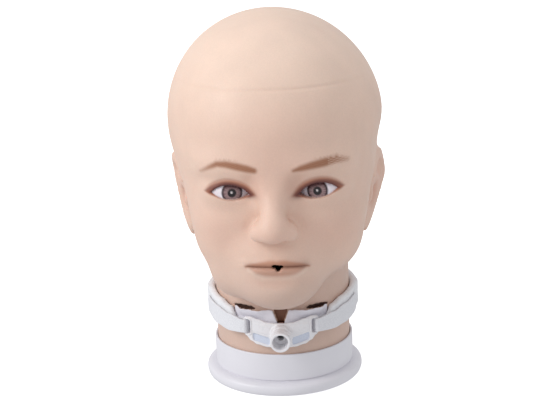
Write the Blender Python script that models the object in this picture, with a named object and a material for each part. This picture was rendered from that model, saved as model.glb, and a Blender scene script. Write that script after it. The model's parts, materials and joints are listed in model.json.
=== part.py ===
"""Airway training head: a hollow soft-vinyl head that turns on a white plastic base.

A tracheostomy tube with a removable inner cannula sits in the front of the neck, over a split
dressing. A foam neck band holds it with two hook tabs. The face looks along -Y, +Z is up, and the
origin is the centre of the face that the base stands on. Lengths are in millimetres, and MM turns
them into metres where a mesh is made.
"""

import math

import bmesh
import bpy
import numpy as np
from mathutils import Matrix, Vector

MM = 0.001
GAP = 0.3  # running clearance between touching pieces

# Driving dimensions
NECK_R = 51.8
NECK_LOW = 16.0
NECK_JOIN = 82.0  # the round neck ends here
NECK_RELIEF = 53.2  # the head is clear of the neck within this radius
BACK_Y = 33.0  # the face and ears end here and the back of the skull starts
CREASE_Z = 238.6  # the cap of the skull starts at the line across the forehead
WALL = 4.5  # vinyl skin
BASE_R = 61.3
DRUM_R = 54.0
DRUM_BORE = 52.3
DRUM_TOP = 32.0
FLOOR_LOW, FLOOR_TOP = 12.0, 15.0
COVER_R, COVER_LOW, COVER_TOP = 55.5, 2.4, 4.6
FOOT_RING, FOOT_R = 41.0, 6.5
SCREW_RING = 47.0
BOLT_R = 4.0

TUBE_Z = 49.3  # height of the tube's connector
ARC_R = 44.0  # the tube is bent to this radius
ARC_Y = -60.5  # the bend starts here
ARC_Z = TUBE_Z - ARC_R
ARC_END = 54.0  # degrees of bend
CANNULA_R, CANNULA_BORE = 4.9, 3.8
INNER_R, INNER_BORE = 3.4, 2.4
CONNECTOR_R, CONNECTOR_BORE = 7.5, 5.7
MOUTH_Y = -74.0  # front of the connector
HUB_R = 8.2

TRACHEA_Y, TRACHEA_R, TRACHEA_BORE = -21.0, 11.5, 9.5
TRACHEA_LOW, TRACHEA_TOP = 20.0, 78.0
BUSHING_R, BUSHING_BORE = 8.4, 5.6
BUSHING_START = 11.8  # degrees along the bend
SLEEVE_R = NECK_R - WALL - GAP
SLEEVE_WALL = 2.5
SLEEVE_SCREW_Z = 20.0

DRESSING_IN, DRESSING_OUT = 52.15, 53.25
FLANGE_IN, FLANGE_OUT = 55.2, 57.6
BAND_IN, BAND_OUT = 52.15, 57.3
LEG_IN, LEG_OUT = 53.6, 54.8
FLAP_IN, FLAP_OUT = 58.0, 59.2
SLOT_IN, SLOT_OUT = 23.2, 27.6  # sides of a slot, along the flange from its middle
TAB_S, TAB_HALF = 26.6, 0.6  # where the tab goes through the slot
SLOT_LOW, SLOT_HIGH = 49.0, 60.2
TAB_LOW, TAB_HIGH = 49.4, 59.8
BAND_FRONT = 44.0  # degrees from the front to each end of the band
FLAP_END = 78.0

LIPS_Z = 113.4
SLIT_WIDTH, SLIT_HEIGHT = 8.0, 5.6
LIP_INSERT_R = 12.0
LIP_SOCKET_Y = -76.0  # the mouth tube starts here, seated behind the lips
MOUTH_TUBE_R, MOUTH_TUBE_BORE = 5.2, 4.0


# ---------------------------------------------------------------- tools

def material(name, colour, roughness, metallic=0.0):
    found = bpy.data.materials.get(name)
    if found:
        return found
    made = bpy.data.materials.new(name)
    made.use_nodes = True
    shader = made.node_tree.nodes["Principled BSDF"]
    shader.inputs["Base Color"].default_value = (*colour, 1)
    shader.inputs["Roughness"].default_value = roughness
    shader.inputs["Metallic"].default_value = metallic
    return made


def vinyl():
    return material("skin_vinyl", (0.80, 0.58, 0.44), 0.5)


def white_plastic():
    return material("white_plastic", (0.82, 0.82, 0.85), 0.35)


def core_plastic():
    return material("core_plastic", (0.55, 0.57, 0.60), 0.5)


def tube_plastic():
    return material("tube_plastic", (0.86, 0.86, 0.87), 0.3)


def airway_rubber():
    return material("airway_rubber", (0.62, 0.30, 0.24), 0.55)


def foam_fabric():
    return material("foam_fabric", (0.88, 0.88, 0.88), 0.9)


def hook_fabric():
    return material("hook_fabric", (0.80, 0.81, 0.80), 0.85)


def dressing_fabric():
    return material("dressing_fabric", (0.84, 0.82, 0.85), 0.9)


def rubber():
    return material("foot_rubber", (0.12, 0.12, 0.12), 0.8)


def steel():
    return material("steel", (0.60, 0.60, 0.62), 0.3, 1.0)


def add_object(name, bm, surface, smooth=True):
    """One named object from a bmesh drawn in millimetres."""
    bmesh.ops.recalc_face_normals(bm, faces=bm.faces[:])
    bmesh.ops.scale(bm, vec=(MM, MM, MM), verts=bm.verts[:])
    mesh = bpy.data.meshes.new(name)
    bm.to_mesh(mesh)
    bm.free()
    if smooth:
        mesh.shade_smooth()
        mesh.set_sharp_from_angle(angle=math.radians(35))
    obj = bpy.data.objects.new(name, mesh)
    bpy.context.scene.collection.objects.link(obj)
    if surface:
        mesh.materials.append(surface)
    return obj


def as_cutter(obj):
    obj.hide_render = True
    obj.display_type = "WIRE"
    return obj


def boolean(obj, other, operation="DIFFERENCE"):
    step = obj.modifiers.new(f"{operation.lower()}_{other.name}", "BOOLEAN")
    step.operation = operation
    step.solver = "EXACT"
    step.object = as_cutter(other)
    return obj


def turned(name, profile, surface, steps=48, centre=(0, 0)):
    """A closed (radius, z) outline turned about the vertical line through centre."""
    bm = bmesh.new()
    rings = []
    for radius, z in profile:
        if radius == 0:
            rings.append([bm.verts.new((centre[0], centre[1], z))])
            continue
        angles = (2 * math.pi * k / steps for k in range(steps))
        rings.append([
            bm.verts.new((centre[0] + radius * math.cos(a), centre[1] + radius * math.sin(a), z))
            for a in angles
        ])
    for ring, after in zip(rings, rings[1:] + rings[:1]):
        join_rings(bm, ring, after)
    return add_object(name, bm, surface)


def join_rings(bm, ring, after):
    """Faces between two rings of vertices, either of which may be one point on the axis."""
    if len(ring) == 1 and len(after) == 1:
        return
    count = max(len(ring), len(after))
    for k in range(count):
        n = (k + 1) % count
        corners = []
        here, there = len(ring), len(after)
        for v in (ring[k % here], ring[n % here], after[n % there], after[k % there]):
            if v not in corners:
                corners.append(v)
        bm.faces.new(corners)


def pipe(name, path, outer, inner, surface, sides=20):
    """A hollow tube along path, or a solid rod where inner is 0.

    A radius is one value, or one for each point.
    """
    path = [Vector(p) for p in path]
    count = len(path)
    outers = outer if hasattr(outer, "__len__") else [outer] * count
    inners = inner if hasattr(inner, "__len__") else [inner] * count
    bm = bmesh.new()
    outside, inside = [], []
    for k, point in enumerate(path):
        ahead = (path[min(k + 1, count - 1)] - path[max(k - 1, 0)]).normalized()
        across = Vector((1, 0, 0))
        if abs(ahead.dot(across)) > 0.9:
            across = Vector((0, 1, 0))
        up = ahead.cross(across).normalized()
        across = up.cross(ahead).normalized()
        for rings, radius in ((outside, outers[k]), (inside, inners[k])):
            if radius == 0:
                continue
            angles = (2 * math.pi * i / sides for i in range(sides))
            rings.append([
                bm.verts.new(point + radius * (math.cos(a) * across + math.sin(a) * up)) for a in angles
            ])
    for rings in (outside, inside):
        for ring, after in zip(rings, rings[1:]):
            join_rings(bm, ring, after)
    for end in (0, -1):
        if inside:
            join_rings(bm, outside[end], inside[end])
        else:
            bm.faces.new(outside[end])
    return add_object(name, bm, surface)


def box(name, low, high, surface=None):
    bm = bmesh.new()
    bmesh.ops.create_cube(bm, size=1)
    middle = (Vector(low) + Vector(high)) / 2
    size = Vector(high) - Vector(low)
    for v in bm.verts:
        v.co = middle + Vector(v.co[i] * size[i] for i in range(3))
    return add_object(name, bm, surface, smooth=False)


def on_neck(radius, degrees, z):
    """A point at this distance from the neck's axis. Degrees run from the front towards +X."""
    a = math.radians(degrees)
    return Vector((radius * math.sin(a), -radius * math.cos(a), z))


def wrapped(name, stations, low, high, inside, outside, surface):
    """A strip bent round the neck, with its lower and upper edges given at each station in degrees."""
    bm = bmesh.new()
    sections = []
    for degrees in stations:
        bottom, top = low(degrees), high(degrees)
        r_in = inside(degrees) if callable(inside) else inside
        r_out = outside(degrees) if callable(outside) else outside
        corners = ((r_in, bottom), (r_out, bottom), (r_out, top), (r_in, top))
        sections.append([bm.verts.new(on_neck(r, degrees, z)) for r, z in corners])
    for section, after in zip(sections, sections[1:]):
        join_rings(bm, section, after)
    bm.faces.new(sections[0])
    bm.faces.new(sections[-1])
    return add_object(name, bm, surface, smooth=False)


def spread(start, end, count):
    return [start + (end - start) * k / (count - 1) for k in range(count)]


def eased(points):
    """A smooth curve through (position, value) points, as a function."""
    places = [p for p, _ in points]
    values = [v for _, v in points]

    def curve(at):
        if at <= places[0]:
            return values[0]
        if at >= places[-1]:
            return values[-1]
        k = max(i for i, p in enumerate(places) if p <= at)
        share = (at - places[k]) / (places[k + 1] - places[k])
        share = share * share * (3 - 2 * share)
        return values[k] + (values[k + 1] - values[k]) * share

    return curve


def bend_point(degrees):
    """A point on the tube's centre line, counted from the start of its bend."""
    a = math.radians(degrees)
    return (0, ARC_Y + ARC_R * math.sin(a), ARC_Z + ARC_R * math.cos(a))


def bend(start, end, count):
    return [bend_point(d) for d in spread(start, end, count)]


# ---------------------------------------------------------------- the head as a blend of round forms

def rotation(turn):
    ax, ay, az = np.radians(turn)
    rx = np.array([[1, 0, 0], [0, np.cos(ax), -np.sin(ax)], [0, np.sin(ax), np.cos(ax)]])
    ry = np.array([[np.cos(ay), 0, np.sin(ay)], [0, 1, 0], [-np.sin(ay), 0, np.cos(ay)]])
    rz = np.array([[np.cos(az), -np.sin(az), 0], [np.sin(az), np.cos(az), 0], [0, 0, 1]])
    return rz @ ry @ rx


def ellipsoid(p, centre, radii, turn=(0, 0, 0)):
    q = (p - np.array(centre)) @ rotation(turn)
    radii = np.array(radii)
    near = np.sqrt(((q / radii) ** 2).sum(-1))
    slope = np.sqrt(((q / radii**2) ** 2).sum(-1)) + 1e-9
    return near * (near - 1) / slope


def rod(p, a, b, radius_a, radius_b):
    a, b = np.array(a, float), np.array(b, float)
    along = np.clip(((p - a) @ (b - a)) / ((b - a) @ (b - a)), 0, 1)
    away = p - a - along[..., None] * (b - a)
    return np.sqrt((away**2).sum(-1)) - (radius_a + (radius_b - radius_a) * along)


def blend(a, b, width):
    share = np.clip(0.5 + 0.5 * (b - a) / width, 0, 1)
    return b + (a - b) * share - width * share * (1 - share)


def carve(a, b, width):
    return -blend(-a, b, width)


def skull_and_neck(p):
    """Distance to the bald head without its features."""
    both = np.stack([np.sqrt(p[..., 0] ** 2 + 6), p[..., 1], p[..., 2]], -1)
    d = ellipsoid(p, (0, 22, 203), (81.5, 84.2, 80))
    d = blend(d, ellipsoid(p, (0, -14, 199), (74, 75, 75)), 22)
    d = blend(d, ellipsoid(p, (0, -24, 155), (66, 57, 76)), 18)
    d = blend(d, ellipsoid(both, (34, -38, 138), (31, 35, 34)), 16)
    d = blend(d, ellipsoid(p, (0, -26, 115), (62, 52, 31)), 16)
    d = blend(d, ellipsoid(p, (0, -60, 94), (30, 27, 21.5)), 14)
    d = blend(d, ellipsoid(p, (0, 34, 150), (54, 50, 60)), 16)
    neck_r = NECK_R - 1.2 + 2 * np.clip((p[..., 2] - NECK_JOIN + 6) / 8, 0, 1)
    neck = np.maximum(np.hypot(p[..., 0], p[..., 1]) - neck_r, p[..., 2] - 120)
    fillet = 0.5 + 13 * np.clip((p[..., 2] - 76) / 26, 0, 1)
    return blend(d, neck, fillet)


def face(p, d):
    """Adds the brow, the lidded eyes, the nose and the lips to the distance d."""
    both = np.stack([np.sqrt(p[..., 0] ** 2 + 6), p[..., 1], p[..., 2]], -1)
    d = blend(d, ellipsoid(both, (25, -69, 184), (27, 14, 9)), 12)
    d = carve(d, ellipsoid(both, (32, -95, 169), (17, 12, 10)), 9)
    d = carve(d, ellipsoid(both, (16.5, -93, 167), (6, 9, 12)), 8)
    d = blend(d, ellipsoid(both, (32.5, -63, 164.5), (20.5, 17, 14)), 6)
    d = blend(d, rod(p, (0, -76, 178), (0, -94, 148), 8, 8.5), 12)
    d = blend(d, ellipsoid(p, (0, -93, 141.5), (15, 13, 9)), 7)
    d = blend(d, ellipsoid(p, (0, -64, 116), (30, 23, 20)), 12)
    d = blend(d, ellipsoid(p, (0, -82.5, 116.2), (19, 5.5, 3.2)), 4)
    return blend(d, ellipsoid(p, (0, -82.5, 110), (17, 6.6, 4)), 4)


def ears(p, d):
    """Adds a plain flat ear with a hollow on each side."""
    both = np.stack([np.abs(p[..., 0]), p[..., 1], p[..., 2]], -1)
    q = (both - np.array((70.5, 8, 145))) @ rotation((-8, 13, -17))
    plate = ellipsoid(q, (-1, 0.5, 0), (7.5, 17, 31))
    plate = carve(plate, ellipsoid(q, (9, -2, -2), (6, 8, 14)), 3)
    return blend(d, plate, 8)


def between(d, p, low, high):
    return np.maximum(d, np.maximum(low - p[..., 2], p[..., 2] - high))


def outer_face(p):
    """Distance to the outside from the neck to just above the crease."""
    return between(ears(p, face(p, skull_and_neck(p))), p, NECK_JOIN - 14, CREASE_Z + 4)


def outer_lips(p):
    """Distance to the outside in a block round the lips."""
    across = np.maximum(np.abs(p[..., 0]), np.abs(p[..., 2] - LIPS_Z)) - LIP_INSERT_R - 3
    return np.maximum(outer_face(p), np.maximum(across, p[..., 1] + 63))


def outer_cap(p):
    """Distance to the outside from just below the crease to the crown."""
    return between(skull_and_neck(p), p, CREASE_Z - 6, 400)


def inner_head(p):
    """Distance to the hollow, a wall's thickness inside the head before its features are added."""
    return between(skull_and_neck(p) + WALL, p, NECK_JOIN - 8, 400)


def skinned(name, distance, low, high, cell, surface):
    """A closed mesh of the surface where distance is zero, one quad for each grid edge that crosses it."""
    counts = [int(math.ceil((b - a) / cell)) + 1 for a, b in zip(low, high)]
    axes = [a + cell * np.arange(n) for a, n in zip(low, counts)]
    grid = np.stack(np.meshgrid(*axes, indexing="ij"), -1)
    value = distance(grid.reshape(-1, 3)).reshape(counts)
    corners = [(i, j, k) for i in (0, 1) for j in (0, 1) for k in (0, 1)]
    cells = [n - 1 for n in counts]
    total, hits = np.zeros((*cells, 3)), np.zeros(cells)
    for a in corners:
        for axis in range(3):
            if a[axis]:
                continue
            b = tuple(c + (axis == i) for i, c in enumerate(a))
            va, vb = (value[tuple(slice(o, o + n) for o, n in zip(c, cells))] for c in (a, b))
            crossing = (va < 0) != (vb < 0)
            share = np.where(crossing, va / np.where(crossing, va - vb, 1), 0)
            place = np.zeros((*cells, 3)) + np.array(a, float)
            place[..., axis] += share
            total += np.where(crossing[..., None], place, 0)
            hits += crossing
    used = hits > 0
    index = np.full(cells, -1)
    index[used] = np.arange(used.sum())
    points = np.argwhere(used) + total[used] / hits[used][:, None]
    points = points * cell + np.array(low)
    faces = []
    for axis in range(3):
        u, v = (axis + 1) % 3, (axis + 2) % 3
        ahead = [slice(0, -1) if i == axis else slice(1, -1) for i in range(3)]
        after = [slice(1, None) if i == axis else slice(1, -1) for i in range(3)]
        inside, beyond = value[tuple(ahead)] < 0, value[tuple(after)] < 0
        for flip in (False, True):
            spots = np.argwhere((inside != beyond) & (inside == (not flip)))
            spots = spots + np.array([0 if i == axis else 1 for i in range(3)])
            ring = []
            for du, dv in ((-1, -1), (0, -1), (0, 0), (-1, 0)):
                step = spots.copy()
                step[:, u] += du
                step[:, v] += dv
                ring.append(index[tuple(step.T)])
            quads = np.stack(ring[::-1] if flip else ring, -1)
            faces.extend(quads.tolist())
    mesh = bpy.data.meshes.new(name)
    mesh.from_pydata((points * MM).tolist(), [], faces)
    mesh.shade_smooth()
    if surface:
        mesh.materials.append(surface)
    obj = bpy.data.objects.new(name, mesh)
    bpy.context.scene.collection.objects.link(obj)
    return obj


def thin_out(obj, ratio):
    step = obj.modifiers.new("thin_out", "DECIMATE")
    step.ratio = ratio
    step.use_collapse_triangulate = True
    return obj


# ---------------------------------------------------------------- the pieces

def half_space(name, axis, start, end):
    """A block that holds everything between start and end along one axis."""
    low, high = [-140, -140, 0], [140, 140, 320]
    low[axis], high[axis] = start, end
    return box(name, low, high)


def make_mouth_cutters():
    slit = pipe("mouth_slit", [(0, -110, LIPS_Z), (0, -62, LIPS_Z)], SLIT_WIDTH / 2, 0, None, 14)
    slit.scale.z = SLIT_HEIGHT / SLIT_WIDTH
    slit.location.z = LIPS_Z * MM * (1 - slit.scale.z)
    socket = [(0, LIP_SOCKET_Y - GAP, LIPS_Z), (0, LIP_SOCKET_Y + 20, LIPS_Z)]
    socket = pipe("lip_socket", socket, MOUTH_TUBE_R + GAP, 0, None, 16)
    return slit, socket


def make_head_skin():
    """The vinyl skin: the face with the ears, the back of the skull, the cap and an insert for the lips."""
    hollow = skinned("head_hollow", inner_head, (-88, -112, 50), (88, 112, 290), 8.0, None)
    thin_out(hollow, 0.16)
    above = half_space("above_crease", 2, CREASE_Z - GAP / 2, 320)
    relief = [(0, 40), (NECK_RELIEF, 40), (NECK_RELIEF, NECK_JOIN), (0, NECK_JOIN)]
    relief = turned("neck_relief", relief, None, 48)
    slit, socket = make_mouth_cutters()
    through = [(0, -110, LIPS_Z), (0, -62, LIPS_Z)]

    face_skin = skinned("head_skin", outer_face, (-88, -112, 50), (88, 112, 260), 4.2, vinyl())
    thin_out(face_skin, 0.15)
    rear = half_space("behind_face", 1, BACK_Y - GAP / 2, 140)
    hole = pipe("lip_insert_hole", through, LIP_INSERT_R + GAP / 2, 0, None, 24)
    for cutter in (hollow, above, relief, rear, hole, socket):
        boolean(face_skin, cutter)

    back = skinned("skull_back", outer_face, (-88, -112, 50), (88, 112, 260), 4.2, vinyl())
    thin_out(back, 0.12)
    for cutter in (hollow, above, relief, half_space("before_back", 1, -140, BACK_Y + GAP / 2)):
        boolean(back, cutter)

    lips = skinned("lip_insert", outer_lips, (-19, -112, 94), (19, -56, 133), 2.6, vinyl())
    thin_out(lips, 0.4)
    disc = pipe("lip_insert_edge", through, LIP_INSERT_R - GAP / 2, 0, None, 24)
    boolean(lips, disc, "INTERSECT")
    for cutter in (hollow, slit, socket):
        boolean(lips, cutter)

    cap = skinned("skull_cap", outer_cap, (-88, -112, 225), (88, 112, 290), 4.2, vinyl())
    thin_out(cap, 0.2)
    boolean(cap, hollow)
    boolean(cap, half_space("below_crease", 2, 200, CREASE_Z + GAP / 2))


def make_neck_skin():
    inner, top = SLEEVE_R + GAP, NECK_JOIN - GAP
    profile = [(inner, NECK_LOW), (NECK_R - 0.4, NECK_LOW), (NECK_R, NECK_LOW + 0.4), (NECK_R, top), (inner, top)]
    neck = turned("neck_skin", profile, vinyl(), 48)
    boolean(neck, pipe("stoma_hole", bend(-8, 36, 8), BUSHING_R + GAP, 0, None, 20))


def make_base():
    """A flared foot with a floor, and a drum pressed round the floor's edge."""
    floor_r = DRUM_BORE - GAP
    profile = [
        (floor_r, FLOOR_TOP), (floor_r, 10.3), (DRUM_R + 0.4, 10.3), (DRUM_R + 1.4, 9.9), (58.6, 9.4),
        (60.6, 7.6), (BASE_R, 4.8), (60.6, 2.2), (59.0, 0.6), (56.8, 0.6), (56.2, 5.0), (51.6, 6.2),
        (51.4, FLOOR_LOW), (BOLT_R + GAP, FLOOR_LOW), (BOLT_R + GAP, FLOOR_TOP),
    ]
    shell = turned("base_shell", profile, white_plastic(), 48)
    for k in range(4):
        path = [ring_point(SCREW_RING, k, 45, z) for z in (COVER_TOP + GAP, FLOOR_LOW + 1)]
        boolean(shell, pipe(f"boss_{k}", path, 3.6, 0, None, 10), "UNION")
    for k in range(4):
        path = [ring_point(SCREW_RING, k, 45, z) for z in (COVER_TOP - 2, FLOOR_LOW - 0.8)]
        boolean(shell, pipe(f"boss_hole_{k}", path, 1.8, 0, None, 10))
    low = 10.3 + GAP
    drum = [
        (DRUM_BORE, low), (DRUM_R, low), (DRUM_R, DRUM_TOP - 0.5), (DRUM_R - 0.5, DRUM_TOP),
        (DRUM_BORE + 0.4, DRUM_TOP), (DRUM_BORE, DRUM_TOP - 0.4),
    ]
    turned("base_drum", drum, white_plastic(), 48)


def ring_point(radius, k, offset, z):
    a = math.radians(offset + 90 * k)
    return (radius * math.cos(a), radius * math.sin(a), z)


def make_bottom_cover():
    profile = [
        (0, COVER_LOW), (COVER_R - 0.6, COVER_LOW), (COVER_R, COVER_LOW + 0.6), (COVER_R, COVER_TOP), (0, COVER_TOP)
    ]
    cover = turned("bottom_cover", profile, white_plastic(), 40)
    seat = COVER_LOW + 1.3
    for k in range(4):
        path = [ring_point(SCREW_RING, k, 45, z) for z in (COVER_LOW - 1, seat, seat + 0.0001, COVER_TOP + 1)]
        boolean(cover, pipe(f"cover_hole_{k}", path, (3.3, 3.3, 1.8, 1.8), 0, None, 10))


def make_feet():
    for k in range(4):
        x, y, _ = ring_point(FOOT_RING, k, 0, 0)
        top = COVER_LOW - GAP
        profile = [(0, 0), (FOOT_R - 0.6, 0), (FOOT_R, 0.6), (FOOT_R, top), (0, top)]
        turned(f"rubber_foot_{k + 1}", profile, rubber(), 16, (x, y))


def make_cover_screws():
    for k in range(4):
        x, y, _ = ring_point(SCREW_RING, k, 45, 0)
        low = COVER_LOW + 0.1
        neck = low + 0.9
        profile = [(0, low + 0.7), (0.9, low), (2.9, low), (2.9, neck), (1.45, neck), (1.45, 10.6), (0, 10.8)]
        turned(f"cover_screw_{k + 1}", profile, steel(), 8, (x, y))


def make_pivot():
    """A bolt clamps the plug to the floor of the base, between two washers."""
    top = 19.6
    bolt = pipe("pivot_bolt", [(0, 0, 5.4), (0, 0, top)], BOLT_R, 0, steel(), 20)
    head = pipe("pivot_bolt_head", [(0, 0, top - 0.01), (0, 0, top + 5)], 7.5, 0, None, 6)
    boolean(bolt, head, "UNION")
    nut = pipe("pivot_nut", [(0, 0, 5.8), (0, 0, 10.6)], 7.5, 0, steel(), 6)
    boolean(nut, pipe("nut_bore", [(0, 0, 4), (0, 0, 12)], BOLT_R + GAP, 0, None, 20))
    for name, low, high in (("pivot_washer", 18.1, 19.3), ("spring_washer", 10.8, 11.7)):
        inner, outer = BOLT_R + GAP, 8.5
        turned(name, [(inner, low), (outer, low), (outer, high), (inner, high)], steel(), 20)


def make_neck_core():
    """The sleeve that keeps the soft neck round turns about the plug, held by screws in its groove."""
    inner = SLEEVE_R - SLEEVE_WALL
    edge, groove, rim = inner - GAP - 0.2, inner - 2.9, inner - 6
    low, floor, high = FLOOR_TOP + GAP, 17.8, 24
    plug = [
        (BOLT_R + GAP, low), (edge, low), (edge, SLEEVE_SCREW_Z - 1.8), (groove, SLEEVE_SCREW_Z - 1.8),
        (groove, SLEEVE_SCREW_Z + 1.8), (edge, SLEEVE_SCREW_Z + 1.8), (edge, high), (rim, high),
        (rim, floor), (BOLT_R + GAP, floor),
    ]
    turned("neck_plug", plug, core_plastic(), 48)
    bottom, top = FLOOR_TOP + GAP, 76
    sleeve = [(inner, bottom), (SLEEVE_R, bottom), (SLEEVE_R, top - 1), (SLEEVE_R - 1, top), (inner, top)]
    sleeve = turned("neck_sleeve", sleeve, core_plastic(), 36)
    boolean(sleeve, box("stoma_window", (-15, -60, 30), (15, -30, 66)))
    for k, degrees in enumerate((62, 182, 302)):
        path = [on_neck(r, degrees, SLEEVE_SCREW_Z) for r in (inner - 5, SLEEVE_R + 2)]
        boolean(sleeve, pipe(f"sleeve_screw_hole_{k}", path, 1.8, 0, None, 10))
        seat = SLEEVE_R - 1.8
        path = [on_neck(r, degrees, SLEEVE_SCREW_Z) for r in (inner - 2.4, seat, seat + 0.01, SLEEVE_R - 0.1)]
        pipe(f"sleeve_screw_{k + 1}", path, (1.4, 1.4, 1.5, 1.5), 0, steel(), 8)


def make_airway():
    """A soft windpipe under the stoma, a tube to it from the mouth, and a stopper in its foot."""
    profile = [(TRACHEA_BORE, TRACHEA_LOW), (TRACHEA_R, TRACHEA_LOW)]
    count = 5
    for k in range(count):
        z = TRACHEA_LOW + (k + 0.5) * (TRACHEA_TOP - TRACHEA_LOW) / count
        dip = TRACHEA_R - 0.7
        profile += [(TRACHEA_R, z - 2.4), (dip, z - 1.4), (dip, z + 1.4), (TRACHEA_R, z + 2.4)]
    profile += [(TRACHEA_R, TRACHEA_TOP), (TRACHEA_BORE, TRACHEA_TOP)]
    trachea = turned("trachea_tube", profile, airway_rubber(), 18, (0, TRACHEA_Y))
    boolean(trachea, pipe("trachea_window", bend(10, 62, 10), BUSHING_BORE, 0, None, 14))

    bushing = pipe("stoma_bushing", bend(BUSHING_START, 40, 7), BUSHING_R, BUSHING_BORE, airway_rubber(), 18)
    upright = [(0, TRACHEA_Y, 10), (0, TRACHEA_Y, 90)]
    boolean(bushing, pipe("trachea_saddle", upright, TRACHEA_R + GAP, 0, None, 18))

    shoulder, spigot = TRACHEA_LOW - GAP, TRACHEA_BORE - GAP
    stopper = [(0, 18.2), (TRACHEA_R, 18.2), (TRACHEA_R, shoulder), (spigot, shoulder), (spigot - 0.6, 25), (0, 25)]
    turned("trachea_stopper", stopper, rubber(), 18, (0, TRACHEA_Y))

    low = TRACHEA_TOP + GAP
    collar = [(7.5, low), (TRACHEA_R, low), (TRACHEA_R, 82), (7.2, 88), (5.2, 88), (5.2, 84)]
    turned("larynx_collar", collar, airway_rubber(), 18, (0, TRACHEA_Y))
    route = [
        (0, LIP_SOCKET_Y, LIPS_Z), (0, -62, LIPS_Z), (0, -44, 111.5), (0, -29, 104), (0, -22, 95),
        (0, TRACHEA_Y, 88.4),
    ]
    pipe("mouth_tube", eased_path(route), MOUTH_TUBE_R, MOUTH_TUBE_BORE, airway_rubber(), 12)

    low, high = 66.0, 70.0
    inner, outer = TRACHEA_R + GAP, TRACHEA_R + 3.0
    ring = [(inner, low), (outer, low), (outer, high), (inner, high)]
    bracket = turned("trachea_bracket", ring, core_plastic(), 18, (0, TRACHEA_Y))
    sleeve = SLEEVE_R - SLEEVE_WALL - 0.9
    arm = box("bracket_arm", (-7, TRACHEA_Y + inner + 1, low + 0.5), (7, sleeve, high - 0.5))
    boolean(bracket, arm, "UNION")


def eased_path(points, per_span=3):
    """A smooth path through points, as a Catmull-Rom curve."""
    points = [Vector(p) for p in points]
    ends = [2 * points[0] - points[1], *points, 2 * points[-1] - points[-2]]
    path = []
    for a, b, c, d in zip(ends, ends[1:], ends[2:], ends[3:]):
        for k in range(per_span):
            t = k / per_span
            first = (c - a) * t
            second = (2 * a - 5 * b + 4 * c - d) * t**2
            third = (3 * b - a - 3 * c + d) * t**3
            path.append(0.5 * (2 * b + first + second + third))
    return [*path, points[-1]]


def along_flange(length):
    """Degrees round the neck for a length along the flange."""
    return math.degrees(length / ((FLANGE_IN + FLANGE_OUT) / 2))


def make_tube():
    """The tube that stays in the neck: a bent cannula in a winged flange."""
    top = [(0, 57.8), (9, 58.4), (18, 60.8), (24, 62.2), (28, 61.8), (30.4, 59.6)]
    low = [(0, 38.6), (10, 39.2), (18, 40.8), (23, 43.2), (27, 46.8), (30.4, 49.6)]
    top = eased([(along_flange(s), z) for s, z in top])
    low = eased([(along_flange(s), z) for s, z in low])
    end = along_flange(30.4)
    flange = wrapped(
        "neck_flange", spread(-end, end, 33), lambda a: low(abs(a)), lambda a: top(abs(a)),
        FLANGE_IN, FLANGE_OUT, tube_plastic())
    hub = pipe("flange_hub", [(0, -56.2, TUBE_Z), (0, ARC_Y, TUBE_Z)], HUB_R, 0, None, 24)
    boolean(flange, hub, "UNION")
    boolean(flange, pipe("cannula_bore", bend(-8, 24, 8), CANNULA_R + GAP, 0, None, 20))
    for side, name in ((-1, "left"), (1, "right")):
        ends = sorted(side * along_flange(s) for s in (SLOT_IN, SLOT_OUT))
        slot = wrapped(
            f"{name}_slot", ends, lambda a: SLOT_LOW, lambda a: SLOT_HIGH,
            FLANGE_IN - 3, FLANGE_OUT + 3, None)
        boolean(flange, slot)
    pipe("outer_cannula", bend(0.4, ARC_END, 13), CANNULA_R, CANNULA_BORE, tube_plastic(), 16)


def make_inner_cannula():
    """The part that is pulled out to be cleaned: a thinner bent tube with the 15 mm connector on it."""
    pipe("inner_cannula", bend(1.2, ARC_END + 3, 13), INNER_R, INNER_BORE, tube_plastic(), 14)
    back = ARC_Y - GAP
    ys = (back, back - 1.6, back - 2.0, MOUTH_Y + 0.5, MOUTH_Y)
    path = [(0, y, TUBE_Z) for y in ys]
    outer = (HUB_R, HUB_R, CONNECTOR_R + 0.15, CONNECTOR_R, CONNECTOR_R - 0.3)
    inner = (INNER_BORE, INNER_BORE, 5.0, CONNECTOR_BORE, CONNECTOR_BORE + 0.1)
    pipe("connector_15mm", path, outer, inner, tube_plastic(), 28)


def make_dressing():
    """A split pad behind the flange, with its slit spread to a notch at the top."""
    half = 41.0
    low = eased([(0, 37.2), (14, 39.5), (26, 47.0), (34, 50.0), (half, 52.0)])
    pad = wrapped(
        "split_dressing", spread(-half, half, 25), lambda a: low(abs(a)), lambda a: 67.4,
        DRESSING_IN, DRESSING_OUT, dressing_fabric())
    notch = bmesh.new()
    outline = [(-7.2, 70), (7.2, 70), (1.8, 55), (-1.8, 55)]
    front = [notch.verts.new((x, -60, z)) for x, z in outline]
    rear = [notch.verts.new((x, -45, z)) for x, z in outline]
    notch.faces.new(front)
    notch.faces.new(rear)
    join_rings(notch, front, rear)
    boolean(pad, add_object("dressing_notch", notch, None, smooth=False))
    boolean(pad, pipe("dressing_hole", bend(0, 24, 6), BUSHING_R + GAP, 0, None, 20))


def make_band():
    """Foam band in two lengths that meet at the nape, where a hook patch joins them."""
    middle = eased([(BAND_FRONT, 57.2), (72, 57.0), (100, 57.5), (150, 63.0), (180, 65.0)])
    half = eased([(BAND_FRONT, 9.8), (56, 12.5), (76, 15.0), (180, 15.0)])
    for name, side in (("right", 1), ("left", -1)):
        stations = sorted(side * a for a in spread(BAND_FRONT, 179.7, 26))
        wrapped(
            f"band_{name}", stations, lambda a: middle(abs(a)) - half(abs(a)),
            lambda a: middle(abs(a)) + half(abs(a)), BAND_IN, BAND_OUT, foam_fabric())
    wrapped(
        "rear_hook_patch", spread(158, 202, 9), lambda a: 53.0, lambda a: 77.0,
        BAND_OUT + GAP, BAND_OUT + GAP + 1.4, hook_fabric())


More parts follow.
